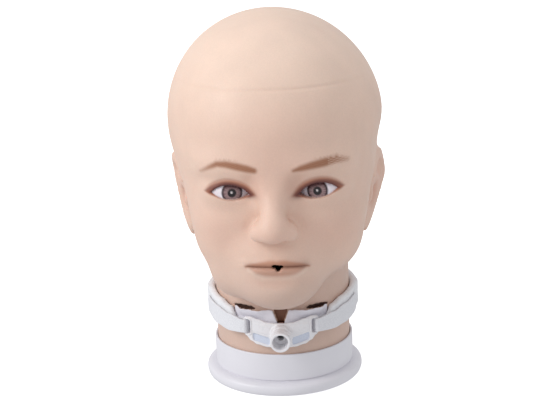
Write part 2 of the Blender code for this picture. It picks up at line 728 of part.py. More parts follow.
def make_tabs():
    """Each hook tab leaves the band's end, goes through the flange's slot and folds back over the band."""
    here = along_flange(TAB_S)
    half = along_flange(TAB_HALF)
    gap = along_flange(GAP)
    flap_high = eased([(here, TAB_HIGH), (42, 62.6), (56, 64.6), (FLAP_END, 65.0)])
    flap_low = eased([(here, TAB_LOW), (42, 48.4), (56, 46.6), (FLAP_END, 46.0)])
    for side, name in ((1, "right"), (-1, "left")):
        stations = sorted(side * a for a in spread(here - half, BAND_FRONT - gap, 6))
        leg = wrapped(
            f"{name}_tab_leg", stations, lambda a: TAB_LOW, lambda a: TAB_HIGH,
            LEG_IN, LEG_OUT, hook_fabric())
        stations = sorted(side * a for a in (here - half, here + half))
        through = wrapped(
            f"{name}_tab_through", stations, lambda a: TAB_LOW, lambda a: TAB_HIGH,
            LEG_IN + 0.2, FLAP_OUT, None)
        boolean(leg, through, "UNION")
        stations = sorted(side * a for a in spread(here + half + gap, FLAP_END, 13))
        wrapped(
            f"{name}_tab_flap", stations, lambda a: flap_low(abs(a)), lambda a: flap_high(abs(a)),
            FLAP_IN, FLAP_OUT, hook_fabric())


# ---------------------------------------------------------------- what turns about what

HEAD_PIECES = (
    "head_skin", "skull_back", "skull_cap", "lip_insert", "neck_skin",
    "neck_sleeve", "sleeve_screw_1", "sleeve_screw_2", "sleeve_screw_3",
    "mouth_tube", "larynx_collar", "trachea_tube", "trachea_bracket", "trachea_stopper", "stoma_bushing",
    "split_dressing", "neck_flange", "outer_cannula", "band_left", "band_right", "rear_hook_patch",
    "left_tab_leg", "right_tab_leg",
)


def add_pivot(name, place, pieces, parent=None):
    """An empty on a joint's axis. Its pieces are its children and keep their places."""
    pivot = bpy.data.objects.new(name, None)
    pivot.empty_display_size = 20 * MM
    pivot.location = Vector(place) * MM
    bpy.context.scene.collection.objects.link(pivot)
    if parent:
        pivot.parent = parent
        pivot.matrix_parent_inverse = Matrix.Translation(-parent.location)
    for piece in pieces:
        obj = bpy.data.objects[piece]
        obj.parent = pivot
        obj.matrix_parent_inverse = Matrix.Translation(-pivot.location)
    return pivot


def add_pivots():
    head = add_pivot("head_turn_pivot", (0, 0, FLOOR_TOP + 1), HEAD_PIECES)
    tube = ("inner_cannula", "connector_15mm")
    add_pivot("inner_cannula_pivot", (0, ARC_Y, ARC_Z), tube, head)
    hinge = along_flange(SLOT_OUT)
    for side, name in ((1, "right"), (-1, "left")):
        place = on_neck(FLAP_OUT, side * hinge, (TAB_LOW + TAB_HIGH) / 2)
        add_pivot(f"{name}_tab_pivot", place, (f"{name}_tab_flap",), head)


def clear_scene():
    for obj in list(bpy.data.objects):
        bpy.data.objects.remove(obj)


def main():
    clear_scene()
    make_head_skin()
    make_neck_skin()
    make_base()
    make_bottom_cover()
    make_feet()
    make_cover_screws()
    make_pivot()
    make_neck_core()
    make_airway()
    make_tube()
    make_inner_cannula()
    make_dressing()
    make_band()
    make_tabs()
    add_pivots()


main()
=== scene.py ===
"""The looks of the airway training head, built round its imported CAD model.

Lengths here are millimetres, as in the design, and MM turns them into Blender's metres. The camera,
the lights and the floor are in metres. The face looks along -Y, +Z is up, and the origin is the
centre of the base where it stands. Left is the viewer's left, on the -X side.
"""

import json
import math

import bmesh
import bpy
import numpy as np
from mathutils import Matrix, Vector

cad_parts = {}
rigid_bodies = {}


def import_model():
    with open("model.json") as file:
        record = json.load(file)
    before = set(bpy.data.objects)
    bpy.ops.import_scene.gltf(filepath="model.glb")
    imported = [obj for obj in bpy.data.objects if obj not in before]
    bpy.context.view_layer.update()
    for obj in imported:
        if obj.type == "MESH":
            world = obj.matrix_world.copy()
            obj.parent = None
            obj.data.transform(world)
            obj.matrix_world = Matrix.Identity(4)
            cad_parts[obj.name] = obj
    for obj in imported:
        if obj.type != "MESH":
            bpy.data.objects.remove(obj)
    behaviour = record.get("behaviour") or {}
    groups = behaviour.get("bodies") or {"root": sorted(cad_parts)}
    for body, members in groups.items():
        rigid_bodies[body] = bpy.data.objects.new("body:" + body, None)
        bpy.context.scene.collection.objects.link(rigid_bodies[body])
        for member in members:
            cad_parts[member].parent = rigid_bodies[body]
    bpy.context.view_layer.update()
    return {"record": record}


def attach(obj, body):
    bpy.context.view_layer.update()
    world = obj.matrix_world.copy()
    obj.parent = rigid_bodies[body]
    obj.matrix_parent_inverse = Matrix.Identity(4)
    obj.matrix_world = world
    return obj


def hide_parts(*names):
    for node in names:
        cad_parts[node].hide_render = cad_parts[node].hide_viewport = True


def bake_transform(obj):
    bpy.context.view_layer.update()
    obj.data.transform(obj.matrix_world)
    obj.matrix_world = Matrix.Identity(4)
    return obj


MM = 0.001

# The photographer's view
VIEW_DISTANCE = 1.0
VIEW_HEIGHT = 0.410
VIEW_PITCH = 15.5  # degrees below level
VIEW_AZIMUTH = 2.3  # degrees towards +X
VIEW_ROLL = 1.75
VIEW_LENS = 88.2
VIEW_SHIFT, VIEW_RISE = -0.0093, 0.0014

SKY_LIGHT, KEY_LIGHT, TOP_LIGHT = 0.70, 14.0, 2.4
FLOOR_HALF = 6.0
FLOOR_GLOW = 0.65  # the sweep is lit on its own, so the floor stays white
BACKDROP_GLOW = 1.02

# Sizes that the CAD model uses too
NECK_R, NECK_LOW = 51.8, 16.0
BASE_R, DRUM_R, DRUM_BORE, DRUM_TOP = 61.3, 54.0, 52.3, 32.0
FLOOR_LOW, FLOOR_TOP, COVER_TOP = 12.0, 15.0, 4.6
BOLT_HOLE_R, SCREW_RING, BOSS_R, BOSS_BORE = 4.3, 47.0, 3.6, 1.8
TUBE_Z = 49.3
ARC_R, ARC_Y, ARC_END = 44.0, -60.5, 54.0
ARC_Z = TUBE_Z - ARC_R
CANNULA_R, CANNULA_BORE = 4.9, 3.8
INNER_R, INNER_BORE = 3.4, 2.4
CONNECTOR_R, CONNECTOR_BORE, MOUTH_Y, HUB_R = 7.5, 5.7, -74.0, 8.2
STOMA_R = 8.7
DRESSING_MIDDLE, DRESSING_HALF, DRESSING_TOP = 52.7, 41.0, 67.4
FLANGE_MIDDLE, FLANGE_END = 56.4, 30.4
SLOT_IN, SLOT_OUT, SLOT_LOW, SLOT_HIGH = 23.2, 27.6, 49.0, 60.2
TAB_S = 26.6
LEG_R, FLAP_R, TAB_THICK = 54.2, 58.6, 1.2
BAND_IN, BAND_OUT, BAND_FRONT, FLAP_END = 52.15, 57.3, 44.0, 78.0


# ---------------------------------------------------------------- camera, floor and light

def make_camera():
    data = bpy.data.cameras.new("camera")
    data.lens = VIEW_LENS
    data.sensor_width = 36
    data.shift_x, data.shift_y = VIEW_SHIFT, VIEW_RISE
    camera = bpy.data.objects.new("camera", data)
    bpy.context.scene.collection.objects.link(camera)
    turn = math.radians(VIEW_AZIMUTH)
    camera.location = (VIEW_DISTANCE * math.sin(turn), -VIEW_DISTANCE * math.cos(turn), VIEW_HEIGHT)
    level = Matrix.Rotation(turn, 4, "Z") @ Matrix.Rotation(math.radians(90 - VIEW_PITCH), 4, "X")
    camera.rotation_euler = (level @ Matrix.Rotation(math.radians(-VIEW_ROLL), 4, "Z")).to_euler()
    bpy.context.scene.camera = camera


def make_stage():
    mesh = bpy.data.meshes.new("floor")
    corners = [(FLOOR_HALF * a, FLOOR_HALF * b, 0) for a, b in ((-1, -1), (1, -1), (1, 1), (-1, 1))]
    mesh.from_pydata(corners, [], [(0, 1, 2, 3)])
    floor = bpy.data.objects.new("floor", mesh)
    bpy.context.scene.collection.objects.link(floor)
    surface = bpy.data.materials.new("floor")
    surface.use_nodes = True
    shader = surface.node_tree.nodes["Principled BSDF"]
    shader.inputs["Base Color"].default_value = (0.9, 0.9, 0.9, 1)
    shader.inputs["Roughness"].default_value = 0.9
    shader.inputs["Emission Color"].default_value = (1, 1, 1, 1)
    shader.inputs["Emission Strength"].default_value = FLOOR_GLOW
    mesh.materials.append(surface)
    floor.visible_diffuse = False
    floor.visible_glossy = False


def add_light(name, place, target, size, power, colour=(1, 1, 1)):
    data = bpy.data.lights.new(name, "AREA")
    data.shape = "RECTANGLE"
    data.size, data.size_y = size
    data.energy = power
    data.color = colour
    light = bpy.data.objects.new(name, data)
    bpy.context.scene.collection.objects.link(light)
    light.location = place
    aim = Vector(target) - Vector(place)
    light.rotation_euler = aim.to_track_quat("-Z", "Y").to_euler()


def make_lights():
    """A white sweep behind and all round, with one large soft light high on the left."""
    world = bpy.data.worlds.new("world")
    world.use_nodes = True
    tree = world.node_tree
    tree.nodes["Background"].inputs["Color"].default_value = (0.97, 0.98, 1.0, 1)
    tree.nodes["Background"].inputs["Strength"].default_value = SKY_LIGHT
    backdrop = tree.nodes.new("ShaderNodeBackground")
    backdrop.inputs["Color"].default_value = (1, 1, 1, 1)
    backdrop.inputs["Strength"].default_value = BACKDROP_GLOW
    seen = tree.nodes.new("ShaderNodeLightPath")
    choose = tree.nodes.new("ShaderNodeMixShader")
    tree.links.new(seen.outputs["Is Camera Ray"], choose.inputs[0])
    tree.links.new(tree.nodes["Background"].outputs[0], choose.inputs[1])
    tree.links.new(backdrop.outputs[0], choose.inputs[2])
    tree.links.new(choose.outputs[0], tree.nodes["World Output"].inputs["Surface"])
    bpy.context.scene.world = world
    bpy.context.scene.view_settings.view_transform = "Standard"
    add_light("key", (-1.35, -0.75, 1.0), (0, 0, 0.17), (0.8, 0.8), KEY_LIGHT)
    add_light("top", (0.0, 0.1, 1.5), (0, 0, 0.2), (1.2, 1.2), TOP_LIGHT)


# ---------------------------------------------------------------- forms: distances to round shapes

def rotation(turn):
    ax, ay, az = np.radians(turn)
    rx = np.array([[1, 0, 0], [0, np.cos(ax), -np.sin(ax)], [0, np.sin(ax), np.cos(ax)]])
    ry = np.array([[np.cos(ay), 0, np.sin(ay)], [0, 1, 0], [-np.sin(ay), 0, np.cos(ay)]])
    rz = np.array([[np.cos(az), -np.sin(az), 0], [np.sin(az), np.cos(az), 0], [0, 0, 1]])
    return rz @ ry @ rx


def ellipsoid(p, centre, radii, turn=(0, 0, 0)):
    q = p - np.array(centre)
    if any(turn):
        q = q @ rotation(turn)
    squares = q * q
    radii = np.array(radii, float)
    near = np.sqrt(squares @ radii**-2)
    slope = np.sqrt(squares @ radii**-4) + 1e-9
    return near * (near - 1) / slope


def rod(p, a, b, radius_a, radius_b):
    a, b = np.array(a, float), np.array(b, float)
    along = np.clip(((p - a) @ (b - a)) / ((b - a) @ (b - a)), 0, 1)
    away = p - a - along[..., None] * (b - a)
    return np.sqrt((away**2).sum(-1)) - (radius_a + (radius_b - radius_a) * along)


def blend(a, b, width):
    """The union of two forms, with a fillet about this wide."""
    share = np.clip(0.5 + 0.5 * (b - a) / width, 0, 1)
    return b + (a - b) * share - width * share * (1 - share)


def carve(a, b, width):
    return -blend(-a, b, width)


def mirrored(p):
    """The point on the +X side, rounded near the middle so that nothing creases there."""
    return np.stack([np.sqrt(p[..., 0] ** 2 + 6), p[..., 1], p[..., 2]], -1)


def ramp(value, low, high):
    t = np.clip((value - low) / (high - low), 0, 1)
    return t * t * (3 - 2 * t)


# ---------------------------------------------------------------- the head's form

EYE_SOCKET_X = 32.5
# The middle of each eye's opening (x, z), and its slant in degrees
LEFT_EYE, RIGHT_EYE = (-32.1, 164.9, 1.5), (30.6, 165.4, 7.0)
LEFT_IRIS, RIGHT_IRIS = (-30.7, 165.3), (29.9, 165.6)
EYE_HALF, EYE_HIGH, EYE_LOW = 13.8, 6.4, 4.6
SEAM_Z = 112.4  # where the lips meet in the middle
MOUTH_HALF = 23.5
CREASE_Z = 238.0
FOLD_Z, FOLD_TURN = 67.1, 33  # the folds above the pad's corners, in degrees from the front
LEAN, LEAN_Z = 0.036, 150.0
TEMPLE_Z, TEMPLE_FLAT = 187.0, 3.4
EAR_PLACE, EAR_TURN, EAR_BOX = (70.5, 8.0, 145.0), (-8, 13, -17), (16, 30, 42)


def leaned(p):
    """The soft skull leans a little towards -X above the brows, so the point to test moves the other way.

    Its temple on the +X side is also flatter than the other one.
    """
    x, y, z = p[..., 0], p[..., 1], p[..., 2]
    flatter = TEMPLE_FLAT * np.exp(-((z - TEMPLE_Z) / 15) ** 2)
    flatter = flatter * ramp(x, 30, 65) * ramp(-np.abs(y - 8), -62, -14)
    return np.stack([x + LEAN * np.maximum(z - LEAN_Z, 0) + flatter, y, z], -1)


def skull_and_neck(p):
    p = leaned(p)
    both = mirrored(p)
    d = ellipsoid(p, (0, 22, 203), (81.2, 84.2, 80))
    d = blend(d, ellipsoid(p, (0, -14, 199), (74, 75, 75)), 22)
    d = blend(d, ellipsoid(p, (0, -24, 158), (65.5, 57, 74)), 18)
    d = blend(d, ellipsoid(both, (33, -38, 139), (28.5, 35, 34)), 16)
    d = blend(d, ellipsoid(p, (0, -26, 115), (57.5, 52, 31)), 16)
    d = blend(d, ellipsoid(p, (-31, -44, 96), (19, 21, 19)), 11)
    d = blend(d, ellipsoid(p, (0, -60, 94), (30, 27, 21.5)), 14)
    d = blend(d, ellipsoid(p, (0, 34, 150), (54, 50, 60)), 16)
    neck = np.maximum(np.hypot(p[..., 0], p[..., 1]) - NECK_R, p[..., 2] - 120)
    neck = np.maximum(neck, NECK_LOW - p[..., 2])
    fillet = 0.5 + 13 * np.clip((p[..., 2] - 76) / 26, 0, 1)
    return blend(d, neck, fillet)


def eye_place(p):
    """(across, up) on the slanted axes of the eye on the point's side. Across runs away from the nose."""
    right = p[..., 0] > 0
    x = np.where(right, p[..., 0] - RIGHT_EYE[0], LEFT_EYE[0] - p[..., 0])
    z = p[..., 2] - np.where(right, RIGHT_EYE[1], LEFT_EYE[1])
    slant = np.radians(np.where(right, RIGHT_EYE[2], LEFT_EYE[2]))
    return x * np.cos(slant) + z * np.sin(slant), z * np.cos(slant) - x * np.sin(slant)


def almond(across, up, half, high, low):
    """Distance to the outline between two arcs that meet at the corners of the eye."""
    upper = (half**2 + high**2) / (2 * high)
    lower = (half**2 + low**2) / (2 * low)
    above = np.hypot(across, up + upper - high) - upper
    below = np.hypot(across, up - lower + low) - lower
    return np.maximum(above, below)


def add_eyes(p, both, d):
    d = blend(d, ellipsoid(both, (26, -68, 184), (28, 14, 9.5), (0, 0, 12)), 13)
    d = carve(d, ellipsoid(both, (33, -97, 169), (18, 13, 9.5)), 10)
    d = carve(d, ellipsoid(both, (17, -93, 166), (6.5, 10, 12)), 8)
    d = blend(d, ellipsoid(both, (EYE_SOCKET_X, -62.5, 164.5), (20.5, 17.5, 14)), 6)
    across, up = eye_place(p)
    lid_fold = np.abs(almond(across, up, EYE_HALF + 4, EYE_HIGH + 4.2, EYE_LOW + 3))
    fold = np.exp(-(lid_fold / 1.1) ** 2) * ramp(up, 1, 5) * (p[..., 1] < -40)
    d = d + 0.5 * fold
    opening = np.maximum(almond(across, up, EYE_HALF, EYE_HIGH, EYE_LOW), p[..., 1] + 60)
    d = carve(d, opening, 0.9)
    return np.minimum(d, ellipsoid(both, (EYE_SOCKET_X, -61.8, 164), (18.6, 17.4, 13.8)))


def add_nose(p, d):
    p = p + np.array([1.2, 0, 0])
    both = mirrored(p)
    d = blend(d, rod(p, (0, -73.5, 178), (-0.4, -94, 148), 8.5, 8.2), 12)
    d = blend(d, ellipsoid(p, (-0.6, -94.5, 140.6), (11, 11, 8.8)), 8)
    d = blend(d, ellipsoid(both, (11.4, -88, 138.5), (6.6, 8.6, 6.4)), 6)
    groove = ellipsoid(both, (19.8, -85, 139.5), (1.9, 5.4, 6.0), (0, -18, 0))
    d = carve(d, groove, 3.5)
    return carve(d, ellipsoid(both, (6, -93, 132.4), (3, 4.5, 3.4)), 2.5)


def seam_height(x):
    return SEAM_Z - 0.0024 * x**2


def add_lips(p, both, d):
    x, y, z = p[..., 0], p[..., 1], p[..., 2]
    d = blend(d, ellipsoid(p, (0, -63, 116), (31, 24, 21)), 12)
    d = carve(d, ellipsoid(p, (0, -95.5, 125), (3.2, 5, 6.5)), 6)
    upper = ellipsoid(both, (8, -83.5, 114.6), (15, 5, 2.6), (0, 5, 14))
    upper = blend(upper, ellipsoid(p, (0, -86, 114.4), (6, 3.4, 2.2)), 3)
    lower = ellipsoid(p, (0, -83, 109.2), (17.5, 6.6, 3.6))
    d = blend(blend(d, upper, 4), lower, 4)
    depth = 0.9 * np.exp(-((z - seam_height(x)) / 1.0) ** 2) * ramp(MOUTH_HALF + 1 - np.abs(x), 0, 5)
    d = d + depth * (y < -60)
    d = carve(d, ellipsoid(p, (0, -91, 102), (14, 5, 4)), 7)
    slit = (np.hypot((x + 1.4) / 2.4, (z - 113.2) / 1.7) - 1) * 1.7
    slit = np.minimum(slit, (np.hypot((x - 0.8) / 2.0, (z - 111.9) / 2.7) - 1) * 2.0)
    slit = np.minimum(slit, (np.hypot((x - 2.6) / 1.9, (z - 113.0) / 1.5) - 1) * 1.5)
    return carve(d, np.maximum(slit, y + 72), 0.5)


def bend_distance(p):
    """Distance from the curved line that the tube follows."""
    return np.hypot(np.hypot(p[..., 1] - ARC_Y, p[..., 2] - ARC_Z) - ARC_R, p[..., 0])


def add_stoma(p, d):
    """The hole in the front of the neck that the tube goes through."""
    hole = np.maximum(bend_distance(p) - STOMA_R, p[..., 1] + 38)
    hole = np.maximum(hole, 30 - p[..., 2])
    split = np.maximum(np.abs(p[..., 0]) - 1.8 - 0.30 * np.maximum(p[..., 2] - 57, 0), p[..., 1] + 49)
    split = np.maximum(split, np.maximum(56 - p[..., 2], p[..., 2] - 73))
    return carve(carve(d, hole, 1.5), split, 1.2)


def add_folds(both, d):
    """The skin folds in on itself above the pad's upper corners."""
    middle = on_neck(NECK_R, FOLD_TURN, FOLD_Z)
    return carve(d, ellipsoid(both, middle, (10.5, 4.5, 1.6), (0, 0, FOLD_TURN)), 1.0)


def add_crease(p, d):
    """The faint fold across the forehead."""
    fade = ramp(-p[..., 1], 20, 45) * ramp(60 - np.abs(p[..., 0]), 0, 16)
    return d + 0.45 * fade * np.exp(-((p[..., 2] - CREASE_Z) / 0.9) ** 2)


def ear_shape(q):
    """Distance to an ear laid out flat: n points out of it, a towards the back, b up."""
    n, a, b = q[..., 0], q[..., 1], q[..., 2]
    width = 14.5 + 4.0 * np.tanh(b / 16)
    round_edge = np.sqrt((a / width) ** 2 + (b / 31) ** 2)
    plate = np.maximum((round_edge - 1) * width * 0.9, np.abs(n - 0.5) - 2.6)
    plate = blend(plate, ellipsoid(q, (-3, 0, -2), (6, 12, 26)), 4)
    rim = np.hypot((round_edge - 0.90) * width, n - 2.6) - 2.3
    rim = np.maximum(rim, -(a + 9 + 0.25 * np.minimum(b, 0) + np.maximum(b - 8, 0) * 2.0))
    out = blend(plate, rim, 2.0)
    inner_edge = np.sqrt(((a + 1.5) / (width * 0.62)) ** 2 + ((b + 1) / 19) ** 2)
    fold = np.maximum(np.hypot((inner_edge - 1) * 9, n - 2.2) - 1.7, 0.5 - a)
    out = blend(out, fold, 2.5)
    out = carve(out, ellipsoid(q, (5.0, -3.5, -5.5), (7.0, 7.5, 11)), 2.2)
    out = carve(out, ellipsoid(q, (4.5, 0, 17), (3.2, 7, 6)), 2.5)
    out = blend(out, ellipsoid(q, (1.5, -11.0, -5), (3.2, 3.6, 6)), 2.0)
    out = blend(out, ellipsoid(q, (0.2, -3, -24), (4.2, 7.5, 7.5)), 3.5)
    return blend(out, ellipsoid(q, (-7, -4, -15), (8, 9, 15)), 5)


def add_ears(p, d):
    droop = np.where(p[..., 0] < 0, 0.11, 0.01) * np.clip(160 - p[..., 2], 0, 36)
    tucked = np.where(p[..., 0] < 0, 0.0, 4.2) * ramp(p[..., 2], 150, 174)
    side = np.stack([np.abs(p[..., 0]) - droop + tucked, p[..., 1], p[..., 2]], -1)
    q = (side - np.array(EAR_PLACE)) @ rotation(EAR_TURN)
    near = (np.abs(q) < np.array(EAR_BOX)).all(-1)
    ear = np.full(d.shape, 20.0)
    ear[near] = ear_shape(q[near])
    return blend(d, ear, 3.5)


def head_form(p):
    both = mirrored(p)
    d = skull_and_neck(p)
    d = add_eyes(p, both, d)
    d = add_nose(p, d)
    d = add_lips(p, both, d)
    d = add_crease(p, add_folds(both, add_stoma(p, d)))
    return add_ears(p, d)


# ---------------------------------------------------------------- surfaces from forms

def graded(*spans):
    """Grid lines through (start, end, step) spans that follow each other."""
    lines = []
    for start, end, step in spans:
        count = max(1, int(round((end - start) / step)))
        lines.extend(start + (end - start) * k / count for k in range(count))
    return np.array([*lines, spans[-1][1]])


CORNERS = list(np.ndindex(2, 2, 2))
STRIDE = 4  # how many fine cells a coarse one spans
FAR = 50.0  # stands for any distance well off the surface


def at_corner(value, corner, cells):
    """The value at this corner of every cell."""
    return value[tuple(slice(start, start + count) for start, count in zip(corner, cells))]


def coarse_cells(coarse, shape, shift=(0, 0, 0)):
    """Picks, for each fine grid point less this shift, the coarse cell that it lies in."""
    picks = []
    for lines, count, back in zip(coarse, shape, shift):
        cell = np.searchsorted(lines, np.arange(count) - back, side="right") - 1
        picks.append(np.clip(cell, 0, len(lines) - 2))
    return np.ix_(*picks)


def sampled(form, axes):
    """The form's value on the grid, worked out in full only near its surface."""
    shape = tuple(len(a) for a in axes)
    coarse = [np.unique(np.append(np.arange(0, n, STRIDE), n - 1)) for n in shape]
    rough_axes = [a[i] for a, i in zip(axes, coarse)]
    rough = form(np.stack(np.meshgrid(*rough_axes, indexing="ij"), -1).reshape(-1, 3))
    rough = rough.reshape([len(a) for a in rough_axes])
    steps = np.meshgrid(*[np.diff(a) for a in rough_axes], indexing="ij")
    reach = 2 + 1.1 * np.sqrt(sum(step**2 for step in steps))
    cells = [n - 1 for n in rough.shape]
    corners = [at_corner(rough, corner, cells) for corner in CORNERS]
    near_cell = np.min([np.abs(c) for c in corners], axis=0) < reach
    value = np.where(corners[0] < 0, -FAR, FAR)[coarse_cells(coarse, shape)]
    near = np.zeros(shape, bool)
    for shift in CORNERS:
        near |= near_cell[coarse_cells(coarse, shape, shift)]
    spots = np.argwhere(near)
    points = np.stack([a[spots[:, i]] for i, a in enumerate(axes)], -1)
    value[near] = in_chunks(form, points)
    return value


def in_chunks(form, points, size=100000):
    return np.concatenate([form(points[k:k + size]) for k in range(0, len(points), size)])


def edge_points(value, cells):
    """For each cell, the summed places in grid steps where its edges cross the surface, and their number."""
    total, hits = np.zeros((*cells, 3), np.float32), np.zeros(cells, np.int32)
    for a in CORNERS:
        for axis in range(3):
            if a[axis]:
                continue
            b = tuple(c + (axis == i) for i, c in enumerate(a))
            va, vb = at_corner(value, a, cells), at_corner(value, b, cells)
            crossing = (va < 0) != (vb < 0)
            share = va[crossing] / (va[crossing] - vb[crossing])
            for i in range(3):
                total[..., i][crossing] += a[i] + (share if i == axis else 0)
            hits += crossing
    return total, hits


def surface_net(form, axes, settle=3):
    """(points, quads) of the form's surface on a graded grid, its points moved onto the exact surface."""
    value = sampled(form, axes)
    cells = tuple(n - 1 for n in value.shape)
    total, hits = edge_points(value, cells)
    used = hits > 0
    index = np.full(cells, -1)
    index[used] = np.arange(used.sum())
    spots = np.argwhere(used) + total[used] / hits[used][:, None]
    points = np.stack([np.interp(spots[:, i], np.arange(len(axes[i])), axes[i]) for i in range(3)], -1)
    quads = []
    for axis in range(3):
        u, v = (axis + 1) % 3, (axis + 2) % 3
        ahead = tuple(slice(0, -1) if i == axis else slice(1, -1) for i in range(3))
        after = tuple(slice(1, None) if i == axis else slice(1, -1) for i in range(3))
        inside, beyond = value[ahead] < 0, value[after] < 0
        for flip in (False, True):
            edges = np.argwhere((inside != beyond) & (inside == (not flip)))
            edges = edges + np.array([0 if i == axis else 1 for i in range(3)])
            ring = []
            for du, dv in ((-1, -1), (0, -1), (0, 0), (-1, 0)):
                step = edges.copy()
                step[:, u] += du
                step[:, v] += dv
                ring.append(index[tuple(step.T)])
            quads.append(np.stack(ring[::-1] if flip else ring, -1))
    points = settled(form, points, settle)
    return points, np.concatenate(quads)


def slope_of(form, points, reach=0.05):
    steps = reach * np.eye(3)
    return np.stack([(form(points + step) - form(points - step)) / (2 * reach) for step in steps], -1)


def settled(form, points, rounds):
    for _ in range(rounds):
        slope = slope_of(form, points)
        steep = (slope**2).sum(-1) + 1e-6
        move = -(form(points) / steep)[:, None] * slope
        length = np.linalg.norm(move, axis=1, keepdims=True)
        points = points + move * np.minimum(1, 0.6 / np.maximum(length, 1e-9))
    return points


def mesh_object(name, points, faces, surface=None):
    mesh = bpy.data.meshes.new(name)
    faces = [tuple(int(i) for i in face) for face in faces]
    mesh.from_pydata((np.asarray(points) * MM).tolist(), [], faces)
    mesh.shade_smooth()
    obj = bpy.data.objects.new(name, mesh)
    bpy.context.scene.collection.objects.link(obj)
    if surface:
        mesh.materials.append(surface)
    return obj


# ---------------------------------------------------------------- paint

PAINT_ROUGHNESS = 0.26  # where the paint is glossiest


def srgb(red, green, blue):
    """A colour as seen on a screen, 0 to 255, in linear light."""
    c = np.array([red, green, blue], float) / 255
    return np.where(c <= 0.04045, c / 12.92, ((c + 0.055) / 1.055) ** 2.4)


CROWN, FOREHEAD = srgb(235, 208, 190), srgb(229, 199, 181)
CHEEK, NECK = srgb(230, 198, 180), srgb(212, 183, 168)
ROSY, SHADE = srgb(219, 170, 152), srgb(205, 160, 140)
BROW, SHADOW, LINER = srgb(152, 98, 66), srgb(168, 102, 74), srgb(88, 42, 42)
EYE_WHITE, IRIS = srgb(236, 226, 232), srgb(112, 84, 88)
IRIS_LIGHT, IRIS_EDGE = srgb(164, 136, 136), srgb(52, 34, 40)
PUPIL, GLINT = srgb(30, 22, 26), srgb(236, 230, 232)
UPPER_LIP, LOWER_LIP = srgb(206, 152, 126), srgb(208, 160, 138)
# The second colour here is painted shade, for inside the slit between the lips.
LIP_SEAM, SLIT_SHADE = srgb(112, 62, 42), srgb(40, 18, 12)
# Painted shade for inside the stoma and, darker still, inside the folds beside the pad.
STOMA_SHADE, FOLD_SHADE = srgb(120, 78, 58), srgb(78, 50, 40)

# Each brow is a line of (x, z, half its thickness), from its inner end outwards
LEFT_BROW = (
    (-14.0, 183.6, 1.9), (-19.0, 184.8, 2.5), (-26.0, 186.2, 2.6), (-33.9, 187.4, 2.3),
    (-40.5, 187.2, 1.8), (-46.5, 184.2, 1.4), (-53.0, 180.2, 0.8),
)
RIGHT_BROW = (
    (13.6, 183.0, 0.9), (19.0, 184.4, 2.0), (26.5, 185.9, 2.6), (35.0, 187.2, 2.9),
    (43.0, 188.4, 2.6), (51.6, 187.0, 1.4),
)


def tinted(colour, other, share):
    return colour + (other - colour) * np.clip(share, 0, 1)[:, None]


def spot(points, centre, radii):
    """A soft round mask, 1 in its middle."""
    q = (points - np.array(centre, float)) / np.array(radii, float)
    return np.exp(-(q**2).sum(-1))


def brow_mask(x, z, brow):
    """1 inside a painted brow, 0 a little outside it."""
    mask = np.zeros(len(x))
    for (xa, za, ra), (xb, zb, rb) in zip(brow, brow[1:]):
        long, rise = xb - xa, zb - za
        share = np.clip(((x - xa) * long + (z - za) * rise) / (long**2 + rise**2), 0, 1)
        away = np.hypot(x - xa - share * long, z - za - share * rise) - (ra + (rb - ra) * share)
        mask = np.maximum(mask, ramp(-away, -1.7, 1.5))
    return mask


def paint_brows(points, colour):
    x, z = points[:, 0], points[:, 2]
    hairs = 0.5 + 0.5 * np.sin(4.2 * z + 1.5 * x)
    left = brow_mask(x, z, LEFT_BROW) * (0.86 + 0.08 * hairs)
    strokes = np.where(x > 38, 0.45 + 0.55 * hairs, 0.86 + 0.08 * hairs)
    right = brow_mask(x, z, RIGHT_BROW) * strokes
    fade = 0.45 + 0.55 * ramp(56 - np.abs(x), 0, 16)
    return tinted(colour, BROW, (left + right) * fade)


def paint_lids(across, up, edge, colour):
    """Shadow over the upper lid, a dark line along its edge, and darker corners."""
    outer = almond(across, up - 0.4, EYE_HALF + 5.0, EYE_HIGH + 4.4, EYE_LOW + 0.6)
    lid = ramp(-outer, -1.6, 2.4) * ramp(up + 0.15 * np.abs(across), -1.2, 1.0)
    colour = tinted(colour, SHADOW, 0.85 * lid)
    line = almond(across - 0.6, up - 0.6, EYE_HALF + 3.6, EYE_HIGH + 1.9, EYE_LOW)
    above = ramp(up + 0.12 * np.abs(across), 0.0, 1.6)
    colour = tinted(colour, LINER, 0.62 * ramp(-line, -1.2, 1.0) * above)
    corners = ramp(-almond(across, up, EYE_HALF + 4, EYE_HIGH - 1, EYE_LOW - 0.6), -0.8, 0.8)
    colour = tinted(colour, SHADOW, 0.75 * corners)
    # The inner corner of each eye is darkened in the liner's colour: partly painted liner, partly painted
    # shade in the corner.
    inner_corner_shade = np.exp(-((across + EYE_HALF + 0.5) / 4.2) ** 2 - ((up + 0.2) / 2.6) ** 2)
    colour = tinted(colour, LINER, 0.75 * inner_corner_shade)
    lash = ramp(2.4 - edge, 0, 2.2) * ramp(up + 0.1 * np.abs(across), 0.2, 1.6)
    colour = tinted(colour, LINER, 0.85 * lash)
    below = ramp(0.7 - np.abs(edge - 0.3), 0, 0.7) * (up < 0)
    return tinted(colour, SHADOW, 0.5 * below)


def paint_eyes(points, colour, gloss):
    across, up = eye_place(points)
    edge = almond(across, up, EYE_HALF, EYE_HIGH, EYE_LOW)
    colour = paint_lids(across, up, edge, colour)
    inside = ramp(-edge, -0.1, 0.5)
    colour = tinted(colour, EYE_WHITE, inside)
    # Painted shade: the eye's white is darker along the edge of the opening, where the lids shade it.
    colour = tinted(colour, LINER, inside * 0.35 * ramp(edge, -1.4, 0))
    colour = paint_irises(points, up, inside, colour)
    return colour, np.maximum(gloss, inside)


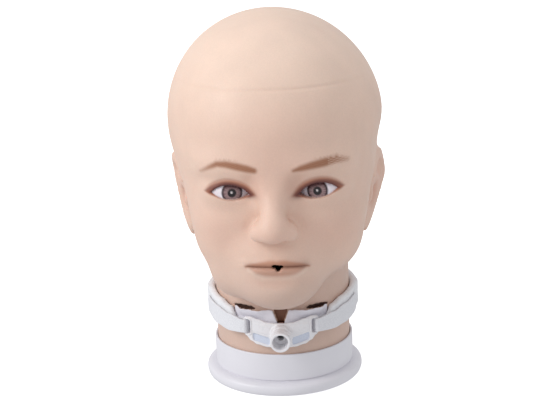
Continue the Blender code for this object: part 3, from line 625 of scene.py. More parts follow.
def paint_irises(points, up, inside, colour):
    """Streaked irises with a dark edge, a pale ring round the pupil and a glint, shaded by the lid."""
    right = points[:, 0] > 0
    ix = points[:, 0] - np.where(right, RIGHT_IRIS[0], LEFT_IRIS[0])
    iz = points[:, 2] - np.where(right, RIGHT_IRIS[1], LEFT_IRIS[1])
    round_iris = np.hypot(ix, iz)
    angle = np.arctan2(iz, ix)
    streaks = 0.5 + 0.3 * np.sin(17 * angle + 2 * np.sin(3 * angle)) + 0.2 * np.sin(29 * angle)
    iris = IRIS + (IRIS_LIGHT - IRIS) * (streaks * ramp(round_iris, 2.0, 4.5))[:, None]
    iris = iris + (IRIS_EDGE - iris) * ramp(round_iris, 5.2, 6.6)[:, None]
    disc = ramp(7.5 - round_iris, -0.35, 0.45) * inside
    colour = tinted(colour, iris, disc)
    pupil_ring = ramp(4.2 - round_iris, -0.4, 0.6) * disc
    colour = tinted(colour, IRIS_LIGHT, 0.6 * pupil_ring)
    colour = tinted(colour, PUPIL, ramp(3.1 - round_iris, -0.4, 0.4) * disc)
    glint = ramp(0.8 - np.hypot(ix + 0.2, iz - 0.4), -0.3, 0.3)
    colour = tinted(colour, GLINT, 0.8 * glint * disc)
    return tinted(colour, LINER, 0.70 * disc * ramp(up, 1.8, 5.4))


def paint_lips(points, colour, gloss):
    x, y, z = points.T
    up = z - seam_height(x)
    taper = np.sqrt(np.clip(1 - (x / MOUTH_HALF) ** 2, 0, 1))
    bow = 5.0 * taper + 0.7 * np.exp(-((np.abs(x) - 5) / 4) ** 2)
    upper = ramp(bow - up, -1.0, 1.6) * ramp(up, -0.9, -0.2) * (np.abs(x) < MOUTH_HALF)
    low_taper = np.clip(1 - (np.abs(x) / 21) ** 2.6, 0, 1)
    lower = ramp(7.8 * low_taper + up, -1.3, 2.2) * ramp(-up, -0.4, 0.4) * (np.abs(x) < 22)
    colour = tinted(colour, UPPER_LIP, 0.9 * upper)
    colour = tinted(colour, LOWER_LIP, 0.85 * lower)
    near = np.exp(-np.abs(up - 0.4) / np.where(up > 0.4, 2.6, 1.2)) * ramp(26 - np.abs(x), 0, 7)
    colour = tinted(colour, LIP_SEAM, 0.85 * near)
    # A painted highlight: a light line along the lower lip's lower edge, in the crown's tone.
    rim = np.exp(-((up + 7.8 * low_taper + 2.4) / 1.3) ** 2) * (np.abs(x) < 22) * (up < 0)
    colour = tinted(colour, CROWN, 0.45 * rim)
    # Painted shade inside the slit between the lips.
    inside = ramp(1.3 - np.hypot(x / 4.4, (z - 112.4) / 3.2), 0, 0.3) * ramp(y, -87.5, -85.0)
    colour = tinted(colour, SLIT_SHADE, inside)
    return colour, np.maximum(gloss, 0.55 * np.maximum(upper, lower))


def painted(points):
    """The colour of each point and how glossy its paint is, from where it is on the head."""
    x, y, z = points.T
    colour = np.tile(NECK, (len(points), 1))
    colour = tinted(colour, CHEEK, ramp(z, 84, 118))
    colour = tinted(colour, FOREHEAD, ramp(z, 150, 205))
    colour = tinted(colour, CROWN, ramp(z, 205, 262))
    gloss = np.zeros(len(points))
    colour = tinted(colour, ROSY, 0.30 * spot(points, (0, -80, 190), (34, 40, 34)))
    on_face = y < -30
    for side in (-1, 1):
        colour = tinted(colour, ROSY, 0.35 * spot(points, (38 * side, -62, 134), (20, 30, 17)))
        colour = tinted(colour, SHADE, 0.35 * spot(points, (13 * side, -82, 170), (9, 20, 10)))
        colour = tinted(colour, ROSY, 0.35 * spot(points, (74 * side, 8, 150), (10, 14, 24)))
        colour = tinted(colour, SHADE, 0.45 * spot(points, (70 * side, 4, 141), (9, 8, 11)))
    colour = tinted(colour, ROSY, 0.30 * spot(points, (0, -100, 138), (16, 14, 10)))
    colour = tinted(colour, SHADE, 0.35 * spot(points, (0, -90, 129), (14, 12, 4)))
    colour = tinted(colour, SHADE, 0.30 * spot(points, (0, -86, 100), (20, 12, 4)))
    colour = tinted(colour, SHADE, 0.06 * np.exp(-((z - CREASE_Z) / 1.0) ** 2) * (y < -20))
    face = points[on_face]
    shown, shine = paint_brows(face, colour[on_face]), gloss[on_face]
    shown, shine = paint_eyes(face, shown, shine)
    shown, shine = paint_lips(face, shown, shine)
    colour[on_face], gloss[on_face] = shown, shine
    # Painted shade: the hole for the tube and the walls inside the neck are dark brown, the folds beside the
    # pad's corners darker still.
    in_stoma = (z < 74) & (np.hypot(x, y) < NECK_R - 0.8)
    colour[in_stoma] = STOMA_SHADE
    colour[in_stoma & (np.abs(x) > 12)] = FOLD_SHADE
    return colour, gloss


# ---------------------------------------------------------------- materials

def new_surface(name, **sockets):
    """A Principled material with these fixed values on its own sockets."""
    surface = bpy.data.materials.new(name)
    surface.use_nodes = True
    shader = surface.node_tree.nodes["Principled BSDF"]
    for socket, value in sockets.items():
        shader.inputs[socket.replace("_", " ").title().replace("Ior", "IOR")].default_value = value
    return surface


def add_node(surface, kind, links=(), **values):
    """A node of this kind with these values, and its inputs linked to (socket name, output) pairs."""
    tree = surface.node_tree
    made = tree.nodes.new("ShaderNode" + kind)
    for name, value in values.items():
        if name in ("data_type", "blend_type", "feature", "bands_direction", "attribute_name"):
            setattr(made, name, value)
        else:
            made.inputs[name.replace("_", " ")].default_value = value
    for name, output in links:
        tree.links.new(output, made.inputs[name])
    return made


def link(surface, output, socket):
    surface.node_tree.links.new(output, socket)


def combined(surface, operation, *inputs, kind="Math"):
    """A Math or VectorMath node fed by these outputs and fixed numbers, in order."""
    made = add_node(surface, kind)
    made.operation = operation
    sockets = (made.inputs[0], made.inputs["Scale"]) if operation == "SCALE" else made.inputs
    for value, socket in zip(inputs, sockets):
        if isinstance(value, float):
            socket.default_value = value
        else:
            link(surface, value, socket)
    return made.outputs[0]


def object_place(surface, stretch=(1, 1, 1)):
    place = add_node(surface, "TexCoord").outputs["Object"]
    return add_node(surface, "Mapping", [("Vector", place)], Scale=stretch).outputs["Vector"]


def noise(surface, scale, detail=3.0, stretch=(1, 1, 1), distortion=0.0):
    """Noise with this many lumps to a metre."""
    made = add_node(surface, "TexNoise", [("Vector", object_place(surface, stretch))],
                    Scale=scale, Detail=detail, Distortion=distortion)
    return made.outputs["Fac"]


def cells(surface, scale, stretch=(1, 1, 1)):
    made = add_node(surface, "TexVoronoi", [("Vector", object_place(surface, stretch))], Scale=scale)
    return made.outputs["Distance"]


def spread_over(surface, value, low, high, to_low=0.0, to_high=1.0):
    made = add_node(surface, "MapRange", [("Value", value)],
                    From_Min=low, From_Max=high, To_Min=to_low, To_Max=to_high)
    return made.outputs["Result"]


def colour_between(surface, value, dark, light):
    """Makes the base colour run from dark to light with value."""
    mix = add_node(surface, "Mix", data_type="RGBA")
    mix.inputs[6].default_value = (*dark, 1)
    mix.inputs[7].default_value = (*light, 1)
    link(surface, value, mix.inputs[0])
    link(surface, mix.outputs[2], shader_of(surface).inputs["Base Color"])


def shader_of(surface):
    return surface.node_tree.nodes["Principled BSDF"]


def rough_between(surface, value, low, high):
    result = spread_over(surface, value, 0.3, 0.7, low, high)
    link(surface, result, shader_of(surface).inputs["Roughness"])


def relief(surface, *layers):
    """Bump from (height output, depth in millimetres) layers, coarse ones first."""
    normal = None
    for height, depth in layers:
        links = [("Height", height)] + ([("Normal", normal)] if normal else [])
        bump = add_node(surface, "Bump", links, Strength=1.0, Distance=depth * MM)
        normal = bump.outputs["Normal"]
    link(surface, normal, shader_of(surface).inputs["Normal"])


def skin_material():
    """Soft vinyl with sprayed paint. The paint attribute's alpha is its gloss."""
    surface = new_surface("skin_vinyl", specular_ior_level=0.42, subsurface_weight=0.05,
                          subsurface_radius=(0.004, 0.0016, 0.0009), subsurface_scale=1.0)
    shader = shader_of(surface)
    paint = add_node(surface, "Attribute", attribute_name="paint")
    mottle = spread_over(surface, noise(surface, 38, 5), 0.3, 0.7, 0.97, 1.03)
    speckle = spread_over(surface, noise(surface, 900, 2), 0.3, 0.7, 0.975, 1.02)
    both = combined(surface, "MULTIPLY", mottle, speckle)
    colour = combined(surface, "SCALE", paint.outputs["Color"], both, kind="VectorMath")
    link(surface, colour, shader.inputs["Base Color"])
    sheen = spread_over(surface, noise(surface, 120, 4), 0.3, 0.7, 0.46, 0.58)
    shine = add_node(surface, "Mix")
    link(surface, paint.outputs["Alpha"], shine.inputs[0])
    link(surface, sheen, shine.inputs[2])
    shine.inputs[3].default_value = PAINT_ROUGHNESS
    link(surface, shine.outputs[0], shader.inputs["Roughness"])
    relief(surface, (noise(surface, 60, 3), 0.05), (noise(surface, 1400, 2), 0.02))
    return surface


def white_plastic():
    surface = new_surface("white_plastic", specular_ior_level=0.5)
    colour_between(surface, noise(surface, 30, 5), srgb(221, 219, 225), srgb(232, 230, 236))
    rough_between(surface, noise(surface, 220, 4), 0.30, 0.42)
    relief(surface, (noise(surface, 25, 2), 0.12), (noise(surface, 2200, 2), 0.008))
    return surface


def tube_plastic(name="tube_plastic"):
    surface = new_surface(name, specular_ior_level=0.5, coat_weight=0.15, coat_roughness=0.2,
                          subsurface_weight=0.08, subsurface_radius=(0.0015, 0.0013, 0.0012),
                          subsurface_scale=1.0)
    colour_between(surface, noise(surface, 90, 5), srgb(228, 226, 230), srgb(240, 238, 240))
    rough_between(surface, noise(surface, 400, 4), 0.24, 0.36)
    relief(surface, (noise(surface, 180, 2), 0.05), (noise(surface, 3000, 2), 0.006))
    return surface


def flange_plastic():
    """The tube's plastic, with painted shade in the wings' sunk panels: a darker bluish tint where an
    attribute marks them.
    """
    surface = tube_plastic("flange_plastic")
    base_colour = shader_of(surface).inputs["Base Color"]
    tint = add_node(surface, "Mix", data_type="RGBA")
    tint.inputs[7].default_value = (*srgb(210, 216, 231), 1)
    link(surface, base_colour.links[0].from_socket, tint.inputs[6])
    panel_shade = add_node(surface, "Attribute", attribute_name="panel_shade")
    link(surface, panel_shade.outputs["Fac"], tint.inputs[0])
    link(surface, tint.outputs[2], base_colour)
    return surface


def core_plastic():
    surface = new_surface("core_plastic")
    colour_between(surface, noise(surface, 60, 5), srgb(176, 180, 186), srgb(198, 200, 204))
    rough_between(surface, noise(surface, 300, 4), 0.45, 0.6)
    relief(surface, (noise(surface, 1600, 2), 0.02))
    return surface


def airway_rubber():
    surface = new_surface("airway_rubber", subsurface_weight=0.12,
                          subsurface_radius=(0.003, 0.001, 0.0008), subsurface_scale=1.0)
    colour_between(surface, noise(surface, 110, 4), srgb(192, 128, 112), srgb(214, 156, 138))
    rough_between(surface, noise(surface, 260, 3), 0.42, 0.6)
    relief(surface, (noise(surface, 500, 3), 0.05))
    return surface


def foot_rubber():
    surface = new_surface("foot_rubber")
    colour_between(surface, noise(surface, 140, 5), srgb(42, 42, 43), srgb(70, 70, 71))
    rough_between(surface, noise(surface, 500, 4), 0.7, 0.9)
    relief(surface, (cells(surface, 900), 0.05))
    return surface


def steel():
    surface = new_surface("steel", metallic=1.0, anisotropic=0.4)
    colour_between(surface, noise(surface, 300, 5, (1, 1, 6)), srgb(172, 174, 178), srgb(206, 207, 210))
    rough_between(surface, noise(surface, 900, 4, (1, 1, 8)), 0.22, 0.4)
    relief(surface, (noise(surface, 2500, 2, (1, 1, 8)), 0.01))
    return surface


def brushed_fabric(name, dark, light, fibre=1800, loft=0.16):
    """A short pile: crossing fibres on soft lumps."""
    surface = new_surface(name, roughness=0.9, sheen_weight=0.35, sheen_roughness=0.6,
                          specular_ior_level=0.2)
    lying = noise(surface, fibre, 3, (1, 1, 0.35), 1.2)
    standing = noise(surface, fibre, 3, (0.35, 0.5, 1), 1.2)
    both = combined(surface, "ADD", lying, standing)
    streaks = spread_over(surface, both, 0.7, 1.3, -0.1, 0.45)
    shade = combined(surface, "MULTIPLY_ADD", noise(surface, 90, 4), 0.6, streaks)
    colour_between(surface, shade, dark, light)
    rough_between(surface, both, 0.86, 0.97)
    relief(surface, (noise(surface, 160, 4), 0.5), (both, loft))
    return surface


def hook_fabric():
    """Hook and loop tape: rows of tiny loops on a woven ground."""
    surface = new_surface("hook_fabric", sheen_weight=0.25, sheen_roughness=0.5, specular_ior_level=0.25)
    loops = cells(surface, 1100, (1, 1, 1.6))
    colour_between(surface, spread_over(surface, loops, 0.1, 0.6), srgb(240, 240, 243), srgb(224, 224, 229))
    rough_between(surface, noise(surface, 500, 3), 0.75, 0.92)
    relief(surface, (noise(surface, 120, 3), 0.25), (loops, 0.16))
    return surface


def dressing_fabric():
    """Non-woven pad: flat fibres pressed both ways, with a faint grid of bonding points."""
    surface = new_surface("dressing_fabric", sheen_weight=0.2, sheen_roughness=0.5, specular_ior_level=0.2)
    fibres = noise(surface, 2400, 2, (0.25, 0.3, 1), 2.0)
    points = cells(surface, 620)
    colour_between(surface, noise(surface, 260, 5), srgb(222, 218, 228), srgb(238, 236, 242))
    rough_between(surface, fibres, 0.85, 0.96)
    relief(surface, (noise(surface, 200, 3), 0.3), (points, 0.08), (fibres, 0.06))
    return surface


# ---------------------------------------------------------------- building pieces round the neck

def on_neck(radius, degrees, z):
    """A point at this distance from the neck's axis. Degrees run from the front towards +X."""
    a = np.radians(degrees)
    return np.stack(np.broadcast_arrays(radius * np.sin(a), -radius * np.cos(a), z), -1)


def along(length, radius=FLANGE_MIDDLE):
    return math.degrees(length / radius)


def eased(points):
    """A smooth curve through (position, value) points, as a function of an array."""
    places, values = (np.array(v, float) for v in zip(*points))

    def curve(at):
        at = np.clip(at, places[0], places[-1])
        k = np.clip(np.searchsorted(places, at, side="right") - 1, 0, len(places) - 2)
        share = (at - places[k]) / (places[k + 1] - places[k])
        share = share * share * (3 - 2 * share)
        return values[k] + (values[k + 1] - values[k]) * share

    return curve


def rounded_section(thick, high, corner, sides=14, arc=4):
    """(out, up) places round a rectangle with rounded corners, always the same number of them."""
    corner = min(corner, 0.499 * thick, 0.499 * high)
    flat_out, flat_up = thick / 2 - corner, high / 2 - corner
    places = []
    for k, (out, up) in enumerate(((1, -1), (1, 1), (-1, 1), (-1, -1))):
        for i in range(arc + 1):
            a = math.radians(-90 + 90 * k + 90 * i / arc)
            places.append((out * flat_out + corner * math.cos(a), up * flat_up + corner * math.sin(a)))
        if k in (0, 2):
            side = 1 if k == 0 else -1
            for i in range(1, sides):
                places.append((side * thick / 2, side * flat_up * (2 * i / sides - 1)))
    return np.array(places)


def ring_faces(rings, ring, closed=True):
    """Quads between rings of this many points that follow each other, and back to the first if closed."""
    faces = []
    for s in range(rings if closed else rings - 1):
        t = (s + 1) % rings
        for k in range(ring):
            n = (k + 1) % ring
            faces.append((s * ring + k, s * ring + n, t * ring + n, t * ring + k))
    return faces


def swept(sections):
    """(points, faces) of a closed solid through rings with equal numbers of points."""
    count, ring = len(sections), len(sections[0])
    points = np.concatenate(sections)
    faces = ring_faces(count, ring, closed=False)
    faces.append(tuple(range(ring))[::-1])
    faces.append(tuple((count - 1) * ring + k for k in range(ring)))
    return points, faces


def soft_waves(points, size, depth):
    """A gentle irregular shift of each point, the same every run."""
    q = points * (2 * math.pi / size)
    shift = np.stack([
        np.sin(q[:, 1] + 1.7 * np.sin(0.7 * q[:, 2] + 0.5)),
        np.sin(q[:, 2] + 1.3 * np.sin(0.8 * q[:, 0] + 2.1)),
        np.sin(q[:, 0] + 1.9 * np.sin(0.6 * q[:, 1] + 4.2)),
    ], -1)
    return points + depth * shift


def add_piece(name, points, faces, surface, body, slot, *nodes):
    piece = mesh_object(name, points, faces, surface)
    fix_normals(piece)
    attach(piece, body)
    if nodes:
        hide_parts(*nodes)
    return piece


def fix_normals(piece):
    bm = bmesh.new()
    bm.from_mesh(piece.data)
    bmesh.ops.recalc_face_normals(bm, faces=bm.faces[:])
    bm.to_mesh(piece.data)
    bm.free()


def neck_strip(stations, middle, high, radius, thick, corner, tips=(0, 0)):
    """Rings of a strip bent round the neck. tips are the lengths over which its two ends round off."""
    sections = []
    first, last = stations[0], stations[-1]
    for degrees in stations:
        size = 1.0
        for end, tip in ((first, tips[0]), (last, tips[1])):
            away = abs(degrees - end) * math.radians(1) * radius
            if tip and away < tip:
                size *= math.sqrt(max(0.02, 1 - (1 - away / tip) ** 2))
        out, up = rounded_section(thick * size**0.5, float(high(abs(degrees))) * size, corner).T
        sections.append(on_neck(radius + out, degrees, float(middle(abs(degrees))) + up))
    return sections


def turned(profile, steps=128, centre=(0, 0)):
    """(points, faces) of a closed (radius, z) outline turned about the vertical."""
    angles = 2 * math.pi * np.arange(steps) / steps
    rings = []
    for r, z in profile:
        x, y = centre[0] + r * np.cos(angles), centre[1] + r * np.sin(angles)
        rings.append(np.stack(np.broadcast_arrays(x, y, z), -1))
    return np.concatenate(rings), ring_faces(len(profile), steps)


def rounded_profile(corners, steps=5):
    """A closed outline from (radius, z, rounding) corners."""
    outline = []
    count = len(corners)
    for k, (r, z, rounding) in enumerate(corners):
        here = np.array((r, z), float)
        before, after = np.array(corners[k - 1][:2], float), np.array(corners[(k + 1) % count][:2], float)
        if rounding <= 0:
            outline.append(tuple(here))
            continue
        back = here + (before - here) * min(0.49, rounding / np.linalg.norm(before - here))
        ahead = here + (after - here) * min(0.49, rounding / np.linalg.norm(after - here))
        for i in range(steps + 1):
            t = i / steps
            outline.append(tuple((1 - t) ** 2 * back + 2 * t * (1 - t) * here + t * t * ahead))
    return outline


def joined(*parts):
    """One (points, faces) from several."""
    points, faces, start = [], [], 0
    for some_points, some_faces in parts:
        points.append(np.asarray(some_points, float))
        faces.extend(tuple(i + start for i in face) for face in some_faces)
        start += len(some_points)
    return np.concatenate(points), faces


# ---------------------------------------------------------------- the pieces

def make_head():
    axes = (
        graded((-86, -50, 2.0), (-50, -14, 0.68), (-14, 14, 1.1), (14, 50, 0.68), (50, 86, 2.0)),
        graded((-112, -60, 1.5), (-60, -25, 2.5), (-25, 34, 2.0), (34, 112, 4.6)),
        graded((12, 40, 4.0), (40, 65, 1.6), (65, 75, 1.0), (75, 104, 2.4), (104, 118, 0.8),
               (118, 156, 1.8), (156, 178, 0.6), (178, 190, 0.8), (190, 233, 3.8), (233, 243, 1.0),
               (243, 290, 3.8)),
    )
    points, quads = surface_net(head_form, axes)
    head = mesh_object("head", points, quads, skin_material())
    paint = head.data.attributes.new("paint", "FLOAT_COLOR", "POINT")
    colour = np.ones((len(points), 4), np.float32)
    colour[:, :3], colour[:, 3] = painted(points)
    paint.data.foreach_set("color", colour.ravel())
    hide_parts("head_skin", "skull_cap", "skull_back", "lip_insert", "neck_skin")
    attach(head, "head")


def make_base(surface):
    """The drum, the flared foot and the floor inside them, as one moulding."""
    profile = rounded_profile([
        (DRUM_BORE, FLOOR_TOP, 0.6), (DRUM_BORE, DRUM_TOP, 0.5), (DRUM_R, DRUM_TOP, 0.7),
        (DRUM_R, 11.3, 0.3), (DRUM_R - 1.1, 10.7, 0.2), (DRUM_R - 0.2, 10.1, 0.3),
        (57.6, 9.9, 1.6), (60.7, 8.6, 2.2), (BASE_R, 4.8, 3.0), (60.2, 1.6, 1.8),
        (58.4, 0.5, 0.7), (56.9, 0.6, 0.3), (56.2, 5.0, 1.0), (51.7, 6.2, 0.8), (51.4, FLOOR_LOW, 0.6),
        (BOLT_HOLE_R, FLOOR_LOW, 0.2), (BOLT_HOLE_R, FLOOR_TOP, 0.2),
    ])
    parts = [turned(profile, 144)]
    for k in range(4):
        a = math.radians(45 + 90 * k)
        boss = rounded_profile([
            (BOSS_BORE, COVER_TOP + 0.3, 0.1), (BOSS_R, COVER_TOP + 0.3, 0.2),
            (BOSS_R, FLOOR_LOW + 0.5, 0), (BOSS_BORE, FLOOR_LOW + 0.5, 0),
        ])
        parts.append(turned(boss, 24, (SCREW_RING * math.cos(a), SCREW_RING * math.sin(a))))
    points, faces = joined(*parts)
    add_piece("base", points, faces, surface, "base", "white_plastic", "base_shell", "base_drum")


FLANGE_TOP = eased([(0, 57.8), (9, 58.4), (18, 60.8), (24, 62.2), (28, 61.8), (30.4, 59.6)])
FLANGE_LOW = eased([(0, 38.6), (10, 39.2), (18, 40.8), (23, 43.2), (27, 46.8), (30.4, 49.6)])


def rounded_box(across, up, half_across, half_up, corner):
    """Distance in the plane to a rectangle with rounded corners."""
    a, b = np.abs(across) - half_across + corner, np.abs(up) - half_up + corner
    return np.hypot(np.maximum(a, 0), np.maximum(b, 0)) + np.minimum(np.maximum(a, b), 0) - corner


def unrolled(q, radius):
    """Places on the neck for (along, out, up) points of a flat layout at this radius."""
    return on_neck(radius + q[:, 1], np.degrees(q[:, 0] / radius), q[:, 2])


def flange_panel(side, z):
    """Distance to the outline of the sunk panel in each wing."""
    return rounded_box(side - 15.0, z - (45.4 + 0.26 * (side - 15)), 6.8, 3.1, 1.8)


def flange_form(q):
    """Distance to the winged flange laid out flat: along it, out of it, up."""
    s, out, z = q[..., 0], q[..., 1], q[..., 2]
    side = np.abs(s)
    edge = np.maximum(z - FLANGE_TOP(side), FLANGE_LOW(side) - z)
    edge = carve(edge, FLANGE_END - side, 3.0)
    slot = rounded_box(side - (SLOT_IN + SLOT_OUT) / 2, z - (SLOT_LOW + SLOT_HIGH) / 2,
                       (SLOT_OUT - SLOT_IN) / 2, (SLOT_HIGH - SLOT_LOW) / 2, 1.6)
    panel = flange_panel(side, z)
    plate = rounded_box(side - 14.9, z - (53.6 + 0.16 * (side - 14)), 6.6, 3.4, 0.8)
    surface = 0.75 - 1.15 * ramp(-panel, -0.3, 0.9) + 0.40 * ramp(-plate, -0.4, 0.4)
    surface = surface + 0.75 * ramp(1.5 - slot, 0, 0.7) * ramp(27.2 - side, 0, 0.8)
    d = carve(out - surface, -edge, 0.9)
    d = carve(d, out + 1.15, 0.5)
    d = carve(d, slot, 0.6)
    r = FLANGE_MIDDLE + out
    x, y = r * np.sin(s / FLANGE_MIDDLE), -r * np.cos(s / FLANGE_MIDDLE)
    hub = np.maximum(np.hypot(x, z - TUBE_Z) - HUB_R, np.maximum(ARC_Y - y, y + 55.6))
    d = blend(d, hub, 1.6)
    bore = np.hypot(np.hypot(y - ARC_Y, z - ARC_Z) - ARC_R, x) - CANNULA_R - 0.3
    return carve(d, bore, 0.3)


def make_flange(surface):
    axes = (graded((-32.4, 32.4, 0.42)), graded((-2.2, 6.2, 0.42)), graded((36.8, 63.8, 0.42)))
    points, quads = surface_net(flange_form, axes, settle=8)
    bent = unrolled(points, FLANGE_MIDDLE)
    flange = add_piece("flange", bent, quads, surface, "head", "tube_plastic", "neck_flange")
    # Painted shade for the sunk panels, which the flange's material turns into a darker bluish tint.
    sunk = ramp(-flange_panel(np.abs(points[:, 0]), points[:, 2]), -0.3, 0.6) * (np.abs(points[:, 1]) < 1)
    panel_shade = flange.data.attributes.new("panel_shade", "FLOAT", "POINT")
    panel_shade.data.foreach_set("value", sunk.astype(np.float32))


def bend_place(degrees):
    a = np.radians(degrees)
    return np.stack([0 * a, ARC_Y + ARC_R * np.sin(a), ARC_Z + ARC_R * np.cos(a)], -1)


def bent_tube(start, end, outer, inner, steps=36, sides=40):
    """(points, faces) of a hollow tube along the bend, with rounded rims."""
    angles = np.radians(np.arange(sides) * 360 / sides)
    rings = []
    wall = outer - inner
    stations = [(d, outer) for d in np.linspace(start, end, steps)]
    tip = math.degrees(0.3 / ARC_R)
    stations += [(end + tip, outer - 0.3 * wall), (end + tip, inner + 0.3 * wall)]
    stations += [(d, inner) for d in np.linspace(end, start, steps)]
    stations += [(start - tip, inner + 0.3 * wall), (start - tip, outer - 0.3 * wall)]
    for degrees, radius in stations:
        a = math.radians(degrees)
        up = np.array([0, math.sin(a), math.cos(a)])
        ring = np.cos(angles)[:, None] * np.array([1, 0, 0]) + np.sin(angles)[:, None] * up
        rings.append(bend_place(degrees) + radius * ring)
    return np.concatenate(rings), ring_faces(len(rings), sides)


def facing_forward(part):
    """A turned part laid down so that its axis runs along Y through the tube's mouth."""
    points, faces = part
    return np.stack([points[:, 0], points[:, 2], TUBE_Z + points[:, 1]], -1), faces


def make_tubes(surface):
    points, faces = bent_tube(0.4, ARC_END, CANNULA_R, CANNULA_BORE)
    add_piece("outer_tube", points, faces, surface, "head", "tube_plastic", "outer_cannula")
    points, faces = bent_tube(1.2, ARC_END + 3, INNER_R, INNER_BORE)
    add_piece("inner_tube", points, faces, surface, "inner_tube", "tube_plastic", "inner_cannula")
    back = ARC_Y - 0.3
    profile = rounded_profile([
        (INNER_BORE, back, 0.3), (HUB_R, back, 0.4), (HUB_R, back - 1.9, 0.5),
        (CONNECTOR_R + 0.15, back - 2.2, 0.4), (CONNECTOR_R, MOUTH_Y + 2, 0.5), (CONNECTOR_R, MOUTH_Y, 0.5),
        (CONNECTOR_BORE + 0.1, MOUTH_Y, 0.4), (CONNECTOR_BORE - 0.3, MOUTH_Y + 6, 0.5),
        (CONNECTOR_BORE - 0.7, back - 2.4, 0.6), (INNER_BORE, back - 1.7, 0.3),
    ])
    points, faces = facing_forward(turned(profile, 72))
    add_piece("connector", points, faces, surface, "inner_tube", "tube_plastic", "connector_15mm")


def dressing_form(q):
    """Distance to the split pad laid out flat."""
    s, out, z = q[..., 0], q[..., 1], q[..., 2]
    side = np.abs(s)
    degrees = np.degrees(side / DRESSING_MIDDLE)
    low = DRESSING_LOW(degrees)
    top = DRESSING_TOP + 0.25 * np.sin(0.5 * s + 1) + 0.15 * np.sin(1.3 * s)
    edge = np.maximum(z - top, low - z)
    edge = carve(edge, math.radians(DRESSING_HALF) * DRESSING_MIDDLE - side, 1.5)
    slant = 5.4 / 15
    notch = (side - 1.8 - slant * (z - 55)) / math.hypot(1, slant)
    notch = np.maximum(notch, 54.5 - z)
    hole = np.hypot(s, z - 47.5) - STOMA_R - 0.3
    edge = carve(edge, np.minimum(notch, hole), 0.8)
    lean = 4.2 * ramp(z, 59.5, 69) * ramp(side, 7, 17) * ramp(37 - side, 0, 8)
    surface = np.abs(out - lean - 0.08 * np.sin(0.7 * s + 0.4 * z)) - 0.5
    return carve(edge, -surface, 0.45)


DRESSING_LOW = eased([(0, 37.2), (14, 39.5), (26, 47.0), (34, 50.0), (DRESSING_HALF, 52.0)])


def make_dressing(surface):
    reach = math.radians(DRESSING_HALF) * DRESSING_MIDDLE + 0.9
    axes = (graded((-reach, reach, 0.55)), graded((-0.9, 5.2, 0.3)), graded((36, 69, 0.55)))
    points, quads = surface_net(dressing_form, axes)
    pad = add_piece("dressing", unrolled(points, DRESSING_MIDDLE), quads, surface,
                    "head", "dressing_fabric", "split_dressing")
    dressing_area() * MM**2


def dressing_area():
    """The pad's flat area in square millimetres, with the notch and the hole left out."""
    s, z = np.meshgrid(np.arange(-38, 38, 0.25), np.arange(37, 68, 0.25), indexing="ij")
    inside = [dressing_form(np.stack([s, 0 * s + out, z], -1)) < 0 for out in np.arange(-0.2, 4.6, 0.4)]
    return float(np.any(inside, axis=0).sum()) * 0.25**2


LEG_Z, LEG_HEIGHT, HINGE_R = 54.6, 10.4, 59.2
BAND_START = 36.5  # the soft ends reach further forward than the CAD band, over the dressing's edges
BAND_TOP = eased([
    (BAND_START, 62.0), (BAND_FRONT, 67.0), (56, 70.2), (76, 72.0), (100, 72.6), (150, 78.0), (180, 80.0),
])
BAND_LOW = {
    "left": eased([
        (BAND_START, 51.0), (BAND_FRONT, 48.4), (54, 50.2), (63, 52.4), (76, 55.0), (90, 57.0), (180, 57.0),
    ]),
    "right": eased([
        (BAND_START, 51.0), (BAND_FRONT, 48.2), (54, 48.6), (63, 50.2), (76, 51.4), (90, 52.6), (150, 57.0),
        (180, 57.0),
    ]),
}
BAND_BULGE = eased([(BAND_FRONT, 0), (78, 0.2), (94, 2.0), (140, 1.6), (157, 0), (180, 0)])
FLAP_LOW = 28.0  # degrees round the neck where the strip leaves the slot
FLAP_MIDDLE = eased([(FLAP_LOW, LEG_Z), (42, 55.6), (56, 57.8), (FLAP_END, 61.2)])
FLAP_HEIGHT = eased([(FLAP_LOW, LEG_HEIGHT), (42, 13.4), (56, 14.8), (FLAP_END, 13.4)])


def bulged(ring, degrees):
    """The foam swells outwards beside the jaw, where nothing presses on it."""
    radius = np.hypot(ring[:, 0], ring[:, 1])
    outer = np.clip((radius - BAND_IN) / (BAND_OUT - BAND_IN), 0, 1)
    lifted = 1.5 * float(ramp(43 - degrees, 0, 2)) * (1 - outer)
    share = 1 + (float(BAND_BULGE(degrees)) * outer + lifted) / radius
    return np.stack([ring[:, 0] * share, ring[:, 1] * share, ring[:, 2]], -1)


def make_band(surface):
    """Two lengths of soft foam band that meet at the nape."""
    thick = BAND_OUT - BAND_IN
    for name, side in (("right", 1), ("left", -1)):
        stations = [side * a for a in np.linspace(BAND_START, 179.75, 150)]
        low = BAND_LOW[name]
        sections = neck_strip(
            stations, lambda a: (BAND_TOP(a) + low(a)) / 2, lambda a: BAND_TOP(a) - low(a),
            BAND_IN + thick / 2, thick - 0.3, 2.3, (7, 0),
        )
        sections = [bulged(ring, abs(degrees)) for ring, degrees in zip(sections, stations)]
        points, faces = swept(sections)
        points = soft_waves(soft_waves(points, 17, 0.10), 5.3, 0.04)
        band = add_piece(f"band_{name}_foam", points, faces, surface, "head", "foam_fabric", f"band_{name}")


def make_patch(surface):
    stations = np.linspace(158, 202, 60)
    sections = neck_strip(stations, lambda a: 68.3, lambda a: 19.0, 58.3, 1.35, 0.5, (3, 3))
    points, faces = swept(sections)
    patch = add_piece("rear_patch", points, faces, surface, "head", "hook_fabric", "rear_hook_patch")


def tab_path():
    """The tab's middle line in plan as (along the neck, radius): out of the slot, then back over the band."""
    path = [(TAB_S, r) for r in np.linspace(55.0, 57.0, 6)]
    bar = SLOT_OUT + 0.4
    turn = bar - TAB_S
    angles = np.linspace(0.15, math.pi / 2, 8)
    path += [(bar - turn * math.cos(a), 57.2 + turn * math.sin(a)) for a in angles]
    end = math.radians(FLAP_END) * FLANGE_MIDDLE
    path += [(s, FLAP_R) for s in np.linspace(bar + 0.8, end, 60)]
    return path


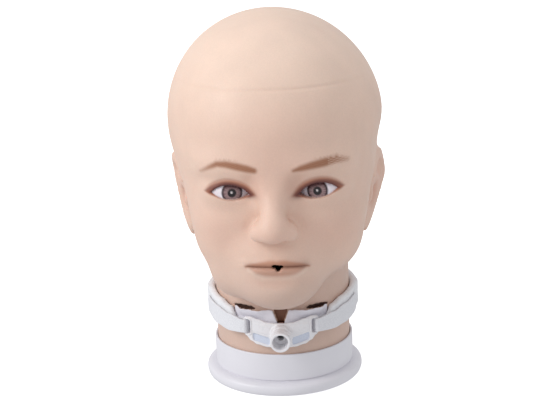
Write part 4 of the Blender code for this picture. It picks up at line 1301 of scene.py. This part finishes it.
def tab_size():
    """The strip's length laid flat, and its flat area."""
    length, area = 0.0, 0.0
    for (s0, r0), (s1, r1) in zip(tab_path(), tab_path()[1:]):
        step = math.hypot((s1 - s0) * FLAP_R / FLANGE_MIDDLE, r1 - r0)
        length += step
        area += step * float(FLAP_HEIGHT(along(s1)))
    return length, area


def tab_sections(side):
    """Rings of the strip along its path. Its end is rounded off over the last 3 mm or so."""
    path = tab_path()
    centres = np.array([on_neck(r, side * along(s), 0.0)[:2] for s, r in path])
    last = len(centres) - 1
    sections = []
    for k, (x, y) in enumerate(centres):
        ahead = centres[min(k + 1, last)] - centres[max(k - 1, 0)]
        ahead = ahead / np.linalg.norm(ahead)
        across = np.array([-ahead[1], ahead[0]]) * -side
        degrees = max(FLAP_LOW, along(path[k][0]))
        left = (last - k) * 0.75
        size = math.sqrt(max(0.03, 1 - (1 - min(1, left / 4)) ** 2))
        out, up = rounded_section(TAB_THICK, float(FLAP_HEIGHT(degrees)) * size, 0.5).T
        z = float(FLAP_MIDDLE(degrees)) + up
        sections.append(np.stack([x + across[0] * out, y + across[1] * out, z], -1))
    return sections


def make_tabs(surface):
    """Each tab's leg behind the flange, and the length that passes the slot and lies back over the band."""
    length, area = tab_size()
    for name, side in (("right", 1), ("left", -1)):
        stations = [side * a for a in np.linspace(along(TAB_S - 0.6), BAND_FRONT - 0.3, 30)]
        sections = neck_strip(stations, lambda a: LEG_Z, lambda a: LEG_HEIGHT, LEG_R, TAB_THICK, 0.5)
        points, faces = swept(sections)
        leg = add_piece(f"{name}_leg", points, faces, surface, "head", "hook_fabric", f"{name}_tab_leg")
        points, faces = swept(tab_sections(side))
        free = ramp(np.hypot(points[:, 0], points[:, 1]), 57.5, 58.5)[:, None]
        points = points + (soft_waves(points, 14, 0.12) - points) * free
        tab = mesh_object(f"{name}_tab_strip", points, faces, surface)
        fix_normals(tab)
        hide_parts(f"{name}_tab_flap")
        hinge = on_neck(HINGE_R, side * along(SLOT_OUT), LEG_Z) * MM
        away = on_neck(1.0, side * (along(SLOT_OUT) + 90), 0.0) * MM
        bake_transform(tab)


def main():
    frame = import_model()
    make_camera()
    make_stage()
    make_lights()
    surfaces = {
        "skin_vinyl": airway_rubber(), "white_plastic": white_plastic(), "core_plastic": core_plastic(),
        "tube_plastic": tube_plastic(), "airway_rubber": airway_rubber(), "foot_rubber": foot_rubber(),
        "foam_fabric": brushed_fabric("foam_fabric", srgb(226, 226, 230), srgb(244, 244, 246)),
        "hook_fabric": hook_fabric(), "dressing_fabric": dressing_fabric(), "steel": steel(),
    }
    for part in frame["record"]["subparts"]:
        for place in bpy.data.objects[part["node"]].material_slots:
            place.material = surfaces[part["material_slot"]]
    make_head()
    make_base(surfaces["white_plastic"])
    make_flange(flange_plastic())
    make_tubes(surfaces["tube_plastic"])
    make_dressing(surfaces["dressing_fabric"])
    make_band(surfaces["foam_fabric"])
    make_patch(surfaces["hook_fabric"])
    make_tabs(surfaces["hook_fabric"])


main()
